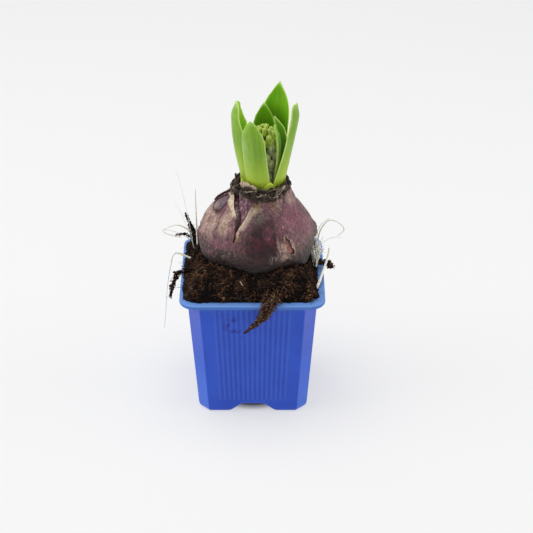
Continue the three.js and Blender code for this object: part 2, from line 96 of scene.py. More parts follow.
def through(pairs, at):
    """The value at a key on a smooth curve through (key, value) pairs."""
    if at <= pairs[0][0]:
        return pairs[0][1]
    if at >= pairs[-1][0]:
        return pairs[-1][1]
    i = max(n for n in range(len(pairs) - 1) if pairs[n][0] <= at)
    before, a = pairs[max(0, i - 1)], pairs[i]
    b, after = pairs[i + 1], pairs[min(len(pairs) - 1, i + 2)]
    span = b[0] - a[0]
    t = (at - a[0]) / span
    slope_a = (b[1] - before[1]) / (b[0] - before[0]) * span
    slope_b = (after[1] - a[1]) / (after[0] - a[0]) * span
    t2, t3 = t * t, t**3
    rise = (2 * t3 - 3 * t2 + 1) * a[1] + (3 * t2 - 2 * t3) * b[1]
    return rise + (t3 - 2 * t2 + t) * slope_a + (t3 - t2) * slope_b


def rough(x, y, z=0.0, size=1.0):
    """Smooth noise from about -1 to 1 whose bumps are size across."""
    return noise.noise(Vector((x, y, z)) / size)


# %% [markdown]
# A few helpers make nearly every piece. The first takes a flat grid and moves each vertex where a
# rule says; the rule may also leave marks on a vertex, which a material reads later to colour an
# edge or a tip. Others close a skin, merge small parts or give a sheet its thickness. settle turns
# the finished mesh from millimetres to metres, gives it its material, and hides the plain nodes
# it stands for.

# %% Bent grids and finished pieces
def bent_grid(columns, rows, place, marks=()):
    """A grid whose vertices go where place(u, v) says; what it adds fills the marks."""
    bm = bmesh.new()
    layers = [bm.verts.layers.float.new(mark) for mark in marks]
    bmesh.ops.create_grid(bm, x_segments=columns, y_segments=rows, size=0.5)
    for vertex in bm.verts:
        point, *values = place(vertex.co.x + 0.5, vertex.co.y + 0.5)
        vertex.co = point
        for layer, value in zip(layers, values):
            vertex[layer] = value
    return bm


def face_outwards(bm):
    """Turns all faces outwards."""
    bmesh.ops.recalc_face_normals(bm, faces=bm.faces)


def weld(bm, distance):
    """Joins vertices that lie this close together."""
    bmesh.ops.remove_doubles(bm, verts=bm.verts, dist=distance)


def seal(bm):
    """Fills what is open and turns all faces outwards."""
    bmesh.ops.holes_fill(bm, edges=[e for e in bm.edges if e.is_boundary], sides=0)
    face_outwards(bm)


def closed(bm, distance):
    """Welds a grid into one closed skin."""
    weld(bm, distance)
    seal(bm)
    return bm


def to_mesh(bm, name):
    """Keeps a bmesh as a mesh."""
    mesh = bpy.data.meshes.new(name)
    bm.to_mesh(mesh)
    bm.free()
    return mesh


def merged(parts):
    """Many small bmeshes as one."""
    whole = bmesh.new()
    for part in parts:
        mesh = to_mesh(part, "part")
        whole.from_mesh(mesh)
        bpy.data.meshes.remove(mesh)
    return whole


def settle(bm, name, material, replaces=()):
    """Makes the piece: metres, smooth faces, material and body, and hides the nodes it stands for."""
    bmesh.ops.scale(bm, vec=(MM, MM, MM), verts=bm.verts)
    for face in bm.faces:
        face.smooth = True
    mesh = to_mesh(bm, name)
    mesh.materials.append(material)
    piece = add_object(name, mesh)
    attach(piece, "root")
    if replaces:
        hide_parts(*replaces)
    print(f"{name}: {len(mesh.vertices)} vertices, {len(mesh.polygons)} faces")
    return piece


def thicken(piece, name, thickness, offset):
    """Gives a sheet its thickness in mm: inwards at offset -1, outwards at 1, both ways at 0."""
    sheet = piece.modifiers.new(name, "SOLIDIFY")
    sheet.thickness = thickness * MM
    sheet.offset = offset


# %% [markdown]
# Materials are node trees. Colours are written as the hex values that a paint program shows, and
# one function turns them into the linear light that Blender mixes. One more function adds a node
# with its settings and links.

# %% Colours and nodes
def linear(hex_colour):
    """An sRGB hex colour as linear red, green, blue and alpha."""
    parts = [int(hex_colour[i : i + 2], 16) / 255 for i in (1, 3, 5)]
    return [p / 12.92 if p <= 0.04045 else ((p + 0.055) / 1.055) ** 2.4 for p in parts] + [1.0]


def node(tree, kind, inputs, stops=(), out=0, **settings):
    """Adds a node and gives one of its outputs; inputs are values, hex colours or sockets."""
    made = tree.nodes.new("ShaderNode" + kind)
    for key, value in settings.items():
        setattr(made, key, value)
    for key, value in inputs.items():
        if isinstance(value, bpy.types.NodeSocket):
            tree.links.new(value, made.inputs[key])
        else:
            made.inputs[key].default_value = linear(value) if isinstance(value, str) else value
    for i, (position, colour) in enumerate(stops):
        elements = made.color_ramp.elements
        element = elements[i] if i < 2 else elements.new(position)
        element.position = position
        element.color = linear(colour)
    return made.outputs[out] if made.outputs else None


def new_material(name):
    """An empty node material, its tree, and where a point is on the object."""
    made = bpy.data.materials.new(name)
    made.use_nodes = True
    made.node_tree.nodes.clear()
    return made, made.node_tree, node(made.node_tree, "TexCoord", {}, out="Object")


# %% [markdown]
# The helpers in this cell only call that function, each for one kind of node that every finish
# needs, so a whole finish reads like a list. Patterns are sized in millimetres of the real thing.

# %% The usual nodes
def every(millimetres):
    """The scale that makes a noise's features this many millimetres across."""
    return 1 / (millimetres * MM)


def noise_at(tree, where, size, detail=3.0, **more):
    """Noise with features of a size in millimetres."""
    return node(tree, "TexNoise", {"Vector": where, "Scale": every(size), "Detail": detail, **more})


def axis(tree, where, name):
    """How far along X, Y or Z, in metres."""
    return node(tree, "SeparateXYZ", {"Vector": where}, out=name)


def stretched(tree, where, scale):
    """The same place, scaled, so that a pattern runs long or short one way."""
    return node(tree, "Mapping", {"Vector": where, "Scale": scale})


def mark(tree, name):
    """What a rule has left on the vertices."""
    return node(tree, "Attribute", {}, out="Fac", attribute_name=name)


def ramp(tree, value, *stops):
    """Colours along a value."""
    return node(tree, "ValToRGB", {"Fac": value}, stops)


def fade(tree, value, start=0.0, stop=1.0, low=0.0, high=1.0):
    """Goes from low to high while a value goes from start to stop, and stays there beyond."""
    return node(tree, "MapRange", {"Value": value, 1: start, 2: stop, 3: low, 4: high})


def calc(tree, a, how, b, clamp=False):
    """One sum on two values."""
    return node(tree, "Math", {0: a, 1: b}, operation=how, use_clamp=clamp)


def blend_colour(tree, share, a, b, how="MIX"):
    """Mixes two colours (hex or sockets) by a share."""
    return node(tree, "Mix", {0: share, 6: a, 7: b}, out=2, data_type="RGBA", blend_type=how)


def tinted(tree, colour, *layers):
    """Lays tints over a colour: each where a value goes from start to stop, up to a share."""
    for value, start, stop, share, tint in layers:
        colour = blend_colour(tree, fade(tree, value, start, stop, high=share), colour, tint)
    return colour


def relief(tree, height, strength, depth):
    """Roughness too fine to model, this many millimetres deep."""
    return node(tree, "Bump", {"Height": height, "Strength": strength, "Distance": depth * MM})


def surface(tree, colour, roughness, ior=None, normal=None, inside=None, more=None):
    """Ends a tree. inside is the share of light that enters, how far each colour goes, and mm."""
    values = {"Base Color": colour, "Roughness": roughness, **(more or {})}
    values.update({k: v for k, v in (("IOR", ior), ("Normal", normal)) if v is not None})
    if inside:
        values["Subsurface Weight"], values["Subsurface Radius"] = inside[:2]
        values["Subsurface Scale"] = inside[2] * MM
    node(tree, "OutputMaterial", {"Surface": node(tree, "BsdfPrincipled", values)})


# %% [markdown]
# ## The studio
# The plant stands on a large sheet of white acrylic that is lit from below, as product
# photographers use, so its shadow all but vanishes. The sheet is a little dimmer far off, and a
# painted shadow darkens it right under the pot, which only shows through the vents. A wide lamp
# hangs overhead, and white panels left and right light the pot's cut corners, whose paler stripes
# are also painted into the pot's colour. The sky is a dim white, so the side that faces the
# camera stays the darkest.

# %% Light table
def light_table_material():
    """Backlit opal acrylic: it glows evenly and scatters a third of the light that falls on it."""
    made, tree, where = new_material("opal_acrylic")
    grain = node(tree, "TexNoise", {"Scale": every(60), "Detail": 2.0})
    tint = ramp(tree, grain, (0.3, "#A0A0A0"), (0.7, "#A2A2A1"))
    far = fade(tree, axis(tree, where, "Y"), 0.1, 0.6)
    glow = blend_colour(tree, far, "#F8F8F8", "#F0F0F2")
    from_middle = node(tree, "VectorMath", {0: where}, out="Value", operation="LENGTH")
    # Painted shadow: the glow and the colour turn dark right under the pot.
    under = (from_middle, 25.5 * MM, 20.5 * MM, 0.93)
    glow, tint = tinted(tree, glow, (*under, "#20222C")), tinted(tree, tint, (*under, "#3A3C48"))
    more = {"Emission Color": glow, "Emission Strength": 0.58, "Specular IOR Level": 0.1}
    surface(tree, tint, 0.8, more=more)
    return made


floor_bm = bmesh.new()
bmesh.ops.create_grid(floor_bm, x_segments=1, y_segments=1, size=6)
floor_mesh = to_mesh(floor_bm, "light_table")
floor_mesh.materials.append(light_table_material())
add_object("light_table", floor_mesh)


# %% [markdown]
# A lamp as wide as a table throws shadows too soft to see. One hangs above the plant and one
# stands at either side, as white panels would.

# %% Lamps
def lamp(name, place, target, size, power):
    """A square soft light at place, turned to the target, in metres and watts."""
    data = bpy.data.lights.new(name, "AREA")
    data.shape = "SQUARE"
    data.size = size
    data.energy = power
    made = add_object(name, data)
    made.location = place
    made.rotation_euler = (Vector(target) - Vector(place)).to_track_quat("-Z", "Y").to_euler()


lamp("overhead", (-0.25, 0.1, 1.6), (0, 0, 0.05), 1.6, 17)
lamp("left_panel", (-1.3, -0.1, 0.6), (0, 0, 0.06), 1.1, 6)
lamp("right_panel", (1.3, 0.0, 0.55), (0, 0, 0.06), 1.1, 5)
world = bpy.data.worlds.new("white_studio")
world.use_nodes = True
background = world.node_tree.nodes["Background"]
background.inputs["Color"].default_value = linear("#FCFCFD")
background.inputs["Strength"].default_value = 0.42
bpy.context.scene.world = world
bpy.context.scene.view_settings.view_transform = "Standard"
print("lamps:", len(bpy.data.lights))

# %% [markdown]
# ## The pot
# A nursery pot is injection-moulded polypropylene about a millimetre thick: a tapered square box
# with cut corners, fifteen fine ribs on each side, an arched vent between the feet and a lip that
# turns down. All of it is one skin, so one grid makes it: columns run round the pot, and rows
# follow the section from the middle of the underside, up the wall, over the lip and down inside
# to the middle of the floor. That leaves no seams to hide and gives the wall its real thickness.

# %% Pot sizes and outlines
POT_FOOT, POT_TOP = 26.8, 31.3  # half widths
POT_CHAMFER, CHAMFER_GAIN = 5.2, 0.8  # the cut corner's legs at the foot, and how much they grow
CHAMFER_LOSS = 0.586  # what a cut corner loses for each millimetre inwards
WALL, UNDER_INSET = 1.1, 2.7
ARCH_END = 7.2  # above this height the rows are level
RIM_FOOT, RIM_TOP = 64.0, 66.0
LIP_HALF, LIP_RADIUS = 35.0, 8.0
RIBS, RIB_SPREAD, RIB_HEIGHT, RIB_HIGHLIGHT = 15, 0.72, 0.42, 2.4
VENT_HEIGHT, VENT_HALF, VENT_ROUND = 4.5, 12.2, 8


def pot_half(z):
    """Half the body's width at a height."""
    return mix(POT_FOOT, POT_TOP, z / RIM_FOOT)


def pot_chamfer(z, inset):
    """The cut corner's size at a height, this far inside the wall's outer face."""
    return POT_CHAMFER + CHAMFER_GAIN * z / RIM_FOOT - inset * CHAMFER_LOSS


def arch(x):
    """How high the vent between the feet rises at this distance from the middle."""
    return VENT_HEIGHT * soft_step((VENT_HALF - abs(x)) / VENT_ROUND)


def rib_height(z):
    """The ribs start above the feet and end just under the lip."""
    return RIB_HEIGHT * soft_step((z - 7.3) / 1.2) * soft_step((63.4 - z) / 0.8)


def pot_columns():
    """One side's columns, left to right: (place on the flat, share of the corner, rib height)."""
    corner = [(-1, q, 0) for q in (1, 0.8, 0.6, 0.4, 0.22, 0.1)]
    ribs = []
    for n in range(RIBS):
        centre = RIB_SPREAD * (2 * n / (RIBS - 1) - 1)
        ribs += [(centre + d, 0, h) for d, h in ((-0.037, 0), (-0.014, 1), (0.014, 1), (0.037, 0))]
    mirrored = [(1, q, 0) for _, q, _ in reversed(corner[1:])]
    return corner + [(-1, 0, 0), (-0.972, 0, 0)] + ribs + [(0.972, 0, 0), (1, 0, 0)] + mirrored


def body_outline(column, half, chamfer, lift):
    """A point on the front side of the cut-cornered outline."""
    place, corner, rib = column
    flat = half - chamfer
    x, y = place * flat, -half
    if corner:
        x += place * chamfer * corner / 2
        y += chamfer * corner / 2
    elif abs(place) == 1:
        y += 0.1  # the moulded edge is a little round
    return x, y - lift * rib


def lip_outline(column, half, radius):
    """The matching point on the lip's rounded square."""
    place, corner, _ = column
    flat = half - radius
    angle = math.radians(45) * corner
    return place * flat + math.copysign(radius * math.sin(angle), place), -flat - radius * math.cos(angle)


# %% [markdown]
# The section is written down as rows: an inset or a half width, and a height. Near the foot the
# wall's rows bend up over the vents. Each point is worked out as if on the front side, and then
# turned to its own side.

# %% The pot's section, row by row
SECTION = (
    ("under", [(share, 0) for share in (0.02, 0.15, 0.3, 0.4, 0.5, 0.6, 0.7, 0.8, 0.9)]),
    ("wall", [(1.7, 0), (1.1, 0.15), (0.6, 0.5), (0.22, 1.2), (0.03, 2.3)]),
    ("wall", [(0, z) for z in (3.4, 5, 6.6, 7.3, 7.9, 8.5, 14, 22, 30, 38, 46, 54, 60)]),
    ("wall", [(0, z) for z in (62.6, 63, 63.4, 64.9)]),
    ("lip", [(32, 64.95), (33.9, 64.9), (34.0, 64.1), (34.25, 63.98), (34.6, 64.0), (34.86, 64.2)]),
    ("lip", [(34.95, 64.5), (35, 65.2), (34.93, 65.6), (34.7, 65.87), (34.3, 66), (32.5, 66.02)]),
    ("inside", [(0.2, 66), (0.7, 65.9), (1.0, 65.6)] + [(WALL, z) for z in (65, 60, 40, 20, 8, 3)]),
    ("floor", [(share, 0) for share in (1, 0.9, 0.8, 0.7, 0.6, 0.5, 0.4, 0.3, 0.15, 0.02)]),
)
POT_ROWS = [(kind, *row) for kind, rows in SECTION for row in rows]


def pot_point(side, column, row):
    """A vertex's place, turned to its own side, how far up a rib it is, and if on a cut corner."""
    kind, first, z = row  # first is an inset, half a width, or a share of the way from the middle
    rib = cut = 0.0
    if kind == "lip":
        x, y = lip_outline(column, first, LIP_RADIUS - LIP_HALF + first)
    elif kind == "wall":
        x, y = body_outline(column, pot_half(z) - first, pot_chamfer(z, first), rib_height(z))
        rise = arch(x)
        z = rise + (ARCH_END - rise) * z / ARCH_END if z < ARCH_END else z
        # The rib mark carries a painted highlight along the rib crests.
        rib, cut = column[2] * rib_height(z) * RIB_HIGHLIGHT, float(column[1] > 0)
    elif kind == "inside":
        x, y = body_outline(column, pot_half(z) - first, pot_chamfer(z, first), 0)
        z = max(z, arch(x) + WALL + 0.3)
    else:
        inset = UNDER_INSET if kind == "under" else WALL
        x, y = body_outline(column, POT_FOOT - inset, pot_chamfer(0, inset), 0)
        x, y = x * first, y * first
        z = max(arch(x), arch(y)) + (WALL if kind == "floor" else 0)
    return Matrix.Rotation(math.radians(90 * side), 3, "Z") @ Vector((x, y, z)), rib, cut


columns = pot_columns()
around = 4 * len(columns)


def place_pot(u, v):
    """The pot's rule for the grid."""
    i = round(u * around) % around
    row = POT_ROWS[round(v * (len(POT_ROWS) - 1))]
    return pot_point(i // len(columns), columns[i % len(columns)], row)


pot_bm = closed(bent_grid(around, len(POT_ROWS) - 1, place_pot, ("rib", "cut_corner")), 0.001)
print("pot:", around, "columns and", len(POT_ROWS), "rows")


# %% [markdown]
# Polypropylene is a waxy, slightly see-through plastic. The dye is a strong blue; the top of the
# wall and the lip are painted lighter, with a painted highlight along the lip's top, where light
# grazes it. The rib crests carry a painted highlight, and the cut corners carry painted light:
# brighter low down, where the table shines on them, and paler higher up, where the side panels
# light them. A few dark spots on the wall beside the strand at the front are its painted shadow.

# %% Blue polypropylene
def polypropylene_material():
    """Injection-moulded, dyed polypropylene: satin, IOR 1.49, fine orange peel."""
    made, tree, where = new_material("blue_polypropylene")
    cloud, height = noise_at(tree, where, 14), axis(tree, where, "Z")
    dye = ramp(tree, cloud, (0.3, "#244EC4"), (0.7, "#2A57D0"))
    # Painted light: the top of the wall and the lip are lighter, where light grazes the lip.
    colour = tinted(tree, dye, (height, 60 * MM, 66 * MM, 1.0, "#4C7CCB"))
    # Painted shadow of the strand: a few dark spots on the wall beside it, at the front.
    spots = fade(tree, noise_at(tree, where, 4.0, 1.0), 0.5, 0.58, high=0.75)
    strand_shadow_middle = (-7.6 * MM, -30 * MM, 51.5 * MM)
    away = node(tree, "VectorMath", {0: where, 1: strand_shadow_middle}, out="Value", operation="DISTANCE")
    strand_shadow = calc(tree, spots, "MULTIPLY", fade(tree, away, 8 * MM, 4 * MM))
    colour = blend_colour(tree, strand_shadow, colour, "#181E90")
    # Painted highlight: the rib crests are paler.
    colour = tinted(tree, colour, (mark(tree, "rib"), 0.3, 1.0, 0.16, "#648AE2"))
    cut = mark(tree, "cut_corner")
    # Painted light on the cut corners: brighter low down, where the table shines on them, and paler higher
    # up, where the side panels light them.
    for start, stop, share, tint in ((50, 12, 0.4, "#5C8CF4"), (26, 58, 0.3, "#8C92E0")):
        reach = fade(tree, height, start * MM, stop * MM, high=share)
        colour = blend_colour(tree, calc(tree, cut, "MULTIPLY", reach), colour, tint)
    # Painted highlight along the top edge of the lip.
    colour = tinted(tree, colour, (height, 65.3 * MM, 65.95 * MM, 0.4, "#86AEE6"))
    peel = relief(tree, noise_at(tree, where, 0.8, 2.0), 0.05, 0.1)
    scuff = fade(tree, cloud, low=0.3, high=0.42)
    surface(tree, colour, scuff, 1.49, peel, more={"Specular IOR Level": 0.3})
    return made


settle(pot_bm, "pot_shell", polypropylene_material(), ["pot"])

# %% [markdown]
# ## The bulb's form
# Everything about the bulb is placed by two numbers, as on a globe: the turn round its axis from
# the front, and the height. The outline was drawn as a radius for each height. A few broad, low
# swellings keep it from being a perfect turned shape.

# %% Bulb outline
BULB_PROFILE = [(59, 9), (61, 16), (66, 21.6), (72, 25.5), (79, 28), (86, 28.5), (93, 26.2), (99, 22.2)]
BULB_PROFILE += [(104, 17.5), (107.5, 15), (110, 14.2), (112.5, 13.5)]
BULB_X, NECK_X, COLLAR_X, LEAF_X = 2.3, 4.5, 5.0, 5.2  # the plant leans a little to the right
BULB_Y = 3.0
NECK_TOP = 112.5
DEGREE = 0.45  # millimetres round the bulb for each degree, near enough
SPLIT = [(86, -19), (91, -23.5), (94, -26.5), (99, -28), (103.2, -33.5), (105.2, -44), (108, -57)]
SPLIT.append((111.5, -70))


def off_axis(x, radius, turn, z):
    """A point at a radius and a turn, in degrees from the front, round an upright axis at x."""
    a = math.radians(turn)
    return Vector((x + radius * math.sin(a), BULB_Y - radius * math.cos(a), z))


def bulb_point(turn, z, out=0.0):
    """A point of the bulb's outside, moved out along the radius."""
    a = math.radians(turn)
    swell = 0.012 * math.sin(3 * a + 0.6) + 0.008 * math.sin(5 * a + z * 0.05)
    radius = through(BULB_PROFILE, z) * (1 + swell * soft_step((NECK_TOP - z) / 14)) + out
    shoulder = 1.7 * bump_at(z - 105.5, 5) - 0.9 * bump_at(z - NECK_TOP, 3.5)
    radius += shoulder * bump_at(turn - 75, 60)
    return off_axis(mix(BULB_X, NECK_X, soft_step((z - 102) / 8.5)), radius, turn, z)


def skin_point(turn, z, out):
    """A point moved out square to the bulb's skin."""
    along = bulb_point(turn + 1, z) - bulb_point(turn - 1, z)
    up = bulb_point(turn, z + 0.5) - bulb_point(turn, z - 0.5)
    return bulb_point(turn, z) + along.cross(up).normalized() * out


# %% [markdown]
# Under its papery tunic a bulb is fleshy scales, moist and purple-pink here. They only show where
# the tunic has split open below the neck, but the form is made whole, so that each gap in the
# paper has something real behind it. A furrow runs along the split, and the top is a shallow cup
# that the leaves stand in. A mark shades the furrow, the cup and all that lies low.

# %% Fleshy scales
FLESH_FOOT, CUP_RIM, CUP_FLOOR = 58.2, 112.3, 105.7
FLESH_DEPTH = 1.25  # below the bulb's outline
CUP_WIDE, CUP_NARROW = 11.6, 9.8  # radii
OUTSIDE = 0.8  # the share of the rows that lie outside the cup


def place_flesh(u, v):
    """Rows go up the outside, over the neck's rim and down into the cup."""
    turn = 360 * u - 180
    a = math.radians(turn)
    if v <= OUTSIDE:
        z = mix(FLESH_FOOT, CUP_RIM, v / OUTSIDE)
        furrow = bump_at((turn - through(SPLIT, z) - 3) * 0.4, 1.9) * soft_step((z - 91) / 3)
        shade = max(furrow, 0.7 * soft_step((z - 109) / 3), soft_step((97 - z) / 4))
        radius_in = -FLESH_DEPTH + 0.12 * rough(4 * math.sin(a), 4 * math.cos(a), z / 9) - 1.1 * furrow
        radius_in += 0.25 * rough(turn * 0.4, z * 0.25, 17, 1.1)
        return bulb_point(turn, max(59, z), radius_in).to_2d().to_3d() + Vector((0, 0, z)), shade
    depth = (v - OUTSIDE) / (1 - OUTSIDE)
    radius = mix(CUP_WIDE, CUP_NARROW, depth) if depth < 0.7 else CUP_NARROW * (1 - depth) / 0.3
    return off_axis(LEAF_X, radius, turn, mix(CUP_RIM, CUP_FLOOR, min(1, depth / 0.7))), 1.0


def flesh_material():
    """Moist scale flesh: smooth cells full of purple sap, IOR 1.4, a wet gloss."""
    made, tree, where = new_material("bulb_flesh")
    streak = noise_at(tree, stretched(tree, where, (1, 1, 0.22)), 1.3, 4.0)
    sap = ramp(tree, streak, (0.36, "#44242E"), (0.66, "#AE8A92"), (0.5, "#744A58"))
    low = (axis(tree, where, "Z"), 104 * MM, 98 * MM, 0.8, "#5A3430")
    colour = tinted(tree, sap, low, (mark(tree, "shade"), 0.0, 0.8, 0.93, "#1C0E10"))
    surface(tree, colour, 0.45, 1.4, relief(tree, streak, 0.4, 0.3))
    return made


flesh_bm = closed(bent_grid(240, 80, place_flesh, ("shade",)), 0.01)
settle(flesh_bm, "bulb_flesh_scales", flesh_material(), ["bulb"])

# %% [markdown]
# ## The papery tunic
# The tunic is the dry outer skin: overlapping scales of brittle paper, a fifth of a millimetre
# thick, that shrink and split as the bulb swells. Each is a fine grid wrapped round the bulb.
# Where scales meet, one tucks under the other; where they have split apart, the edge is ragged,
# lifts off the flesh and is bleached cream. Marks keep how cream each vertex is, and where the
# skin is pale, dark, tan, pink or grey, in soft patches that the material reads. The pale patches
# high on the left and on the right shoulder are partly painted highlight, the dark band low round
# the foot is partly painted shade, and the dark mark also carries a painted shadow beside the left
# tear.

# %% Skin patches
def smear(turn, z, patches):
    """How strongly a few soft oval patches cover a place: (turn, height, wide, tall, strength)."""
    total = 0.0
    for at_turn, at_z, wide, tall, strength in patches:
        d = math.hypot((turn - at_turn) / wide, (z - at_z) / tall)
        total = max(total, strength * (1 - soft_step((d - 0.2) / 0.8)))
    return total


PATCHES = {
    # Pale: bleached, rubbed paper; the patches high on the left and on the right shoulder are also painted
    # highlight, where the light from above falls.
    "pale": [
        (-114, 93, 16, 9, 1.0), (-98, 97.5, 12, 4, 0.85), (-97, 89, 12, 6, 0.7), (-75, 94, 28, 10, 0.52),
        (-86, 99.5, 14, 5, 0.4), (-48, 101, 13, 7, 0.62), (-66, 97.5, 14, 5, 0.42), (-40, 96.5, 9, 6, 0.4),
        (-19, 103, 5, 6, 1.0), (-21, 98.5, 4, 4, 0.7), (15, 85.6, 3, 4, 0.6), (20, 86.6, 2.4, 5, 0.6),
        (29, 85.6, 7.5, 3.2, 0.95), (24.5, 90, 2, 4.5, 0.6), (31, 98, 3, 1.2, 0.5), (24, 93, 5, 5, 0.34),
        (34, 107, 12, 5, 0.36), (29, 90, 4.5, 4.5, 0.6), (66, 108, 22, 5, 0.42), (70, 93, 18, 8, 0.16),
        (40.5, 91, 2.6, 4, 0.62), (33, 84.4, 6, 2, 0.7),
    ],
    # Dark: the skin's own dark wine colour; the band low round the foot, where the bulb meets the peat, is
    # partly painted shade.
    "dark": [
        (5, 91.5, 36, 15, 1.2), (8, 100.5, 23, 7, 1.1), (-28, 86, 26, 7, 0.85), (-18, 92, 10, 6, 0.45),
        (55, 97, 16, 7, 0.26), (62, 83, 18, 7, 0.7), (-62, 83, 30, 4, 0.5), (47, 108.8, 5, 2, 0.8),
        (-56, 82.3, 8, 1.8, 0.5), (-2, 87, 22, 4, 0.8), (-34, 88, 16, 5, 0.35), (-13, 87, 10, 8, 0.6),
        (30, 84, 20, 4, 0.8), (0, 84, 46, 5, 0.95),
    ],
    "tan": [
        (-8, 108, 16, 5, 0.85), (24, 108, 18, 4, 0.5), (-45, 98, 12, 7, 0.6), (-62, 92, 14, 8, 0.3),
        (-20, 96, 6, 5, 0.7), (-12, 105, 6, 3, 0.7), (-85, 92, 18, 7, 0.25), (72, 86, 12, 6, 0.4),
    ],
    "pink": [
        (-56, 83, 12, 3.5, 1.0), (60, 101, 26, 11, 0.75), (72, 93, 18, 8, 0.6), (13, 97, 6, 6, 0.3),
        (-50, 87, 10, 5, 0.7), (-85, 85, 24, 8, 0.7), (-34, 91, 8, 4, 0.45), (34, 99, 14, 6, 0.4),
        (-74, 92, 14, 7, 0.45),
    ],
    "grey": [
        (56, 86, 28, 9, 0.4), (-30, 86, 22, 5, 0.75), (6, 103.5, 18, 4, 0.8), (98, 84, 16, 12, 0.5),
        (75, 80, 26, 7, 0.6), (-110, 82, 20, 12, 0.4),
    ],
}


def wandering(turn, z):
    """A place on the skin, pushed about so that no patch keeps an oval outline."""
    x = turn * DEGREE
    aside = 7 * rough(x, z, 11, 5) + 3 * rough(x, z * 0.3, 12, 0.8)
    return turn + aside, z + 1.8 * rough(x, z, 14, 5) + 1.2 * rough(x * 2, z * 0.4, 15, 1.2)


# %% [markdown]
# Two tears go right through the outer scale: a leaf-shaped one high on the left, and a gash low
# on the right. Each is an outline of a few points on the bulb's globe. The distance from it,
# in millimetres, says which faces to cut away and how near the torn rim is.

# %% Tears
LENS = [(-68, 101), (-83, 99.5), (-96, 100), (-104, 102), (-100, 105), (-88, 107.6)]
LENS += [(-78, 107.8), (-71, 107), (-68, 104)]
GASH = [(31.4, 96.2), (34.0, 94.4), (36.2, 93.0), (36.8, 91.0), (39.2, 88.4), (38.6, 85.8)]
GASH += [(36.6, 86.4), (34.4, 86.0), (30.6, 87.8), (29.2, 90.0), (29.6, 92.6), (30.6, 94.4)]


def from_tear(outline, turn, z, per_degree):
    """Millimetres from the outline of a tear, negative inside it."""
    nearest, inside = 1e9, False
    x = turn * per_degree
    for (turn_a, za), (turn_b, zb) in zip(outline, outline[1:] + outline[:1]):
        xa, dx, dz = turn_a * per_degree, (turn_b - turn_a) * per_degree, zb - za
        share = min(1, max(0, ((x - xa) * dx + (z - za) * dz) / (dx * dx + dz * dz)))
        nearest = min(nearest, math.hypot(x - xa - dx * share, z - za - dz * share))
        if (za > z) != (zb > z) and x < dx * (z - za) / dz + xa:
            inside = not inside
    return -nearest if inside else nearest


def tear_distance(turn, z):
    """Distance from the nearest tear, with a nibbled outline."""
    nibble = 0.25 * rough(turn * DEGREE, z, 3, 0.9)
    if -115 < turn < -50 and z > 94:
        return from_tear(LENS, turn, z, 0.36) + nibble
    if 15 < turn < 55 and 80 < z < 102:
        return from_tear(GASH, turn, z, 0.47) + nibble
    return 9.0


# %% [markdown]
# The scales' edges follow the split in the bulb: it starts low on the front, to the left, and
# opens like a V towards the neck. Below its foot the left scale simply runs on under the front
# one. Where the left scale meets the split, high up, its margin has dried and rolled outwards.

# %% Scale edges
def ragged(value, z, seed, size=1.2):
    """A torn edge's small steps, in degrees."""
    return value + size * rough(z, seed, size=1.8) + 0.6 * size * rough(z, seed + 5, size=0.7)


def split_left(z):
    """The left scale's torn edge, as a turn."""
    return ragged(through(SPLIT, z), z, 3)


def split_right(z):
    """The front scale's torn edge, as a turn."""
    route = [(88, -29), (91.5, -26.5), (94, -24.8), (97.5, -24), (100, -21), (102, -17.5), (105, -16.5)]
    return ragged(through(route + [(107.5, -15), (110, -9), (111, 0)], z), z, 13, 1.0)


def seam(at):
    """A plain seam, where one scale tucks under the next."""
    return lambda z: at + 0.8 * rough(z, at, size=4.0)


def torn_top(turn, seed):
    """The ragged height where the paper ends under the collar."""
    right = 1.7 * bump_at(turn - 66, 46)
    broad = 0.9 * rough(turn, seed, size=9) * (1 - 0.4 * right)
    return 110.4 + right + broad + 0.5 * rough(turn, seed + 4, size=2.5)


# %% [markdown]
# One function makes every scale from its two edges. It wraps a grid round the bulb between them,
# lifts, rolls or tucks the edges, lays low ridges and folds near the foot, cuts out the tears and
# leaves the marks. A solidify modifier then gives the paper its thickness.

# %% One scale
SCALE_MARKS = ("edge", "pale", "dark", "tan", "pink", "grey", "hole")


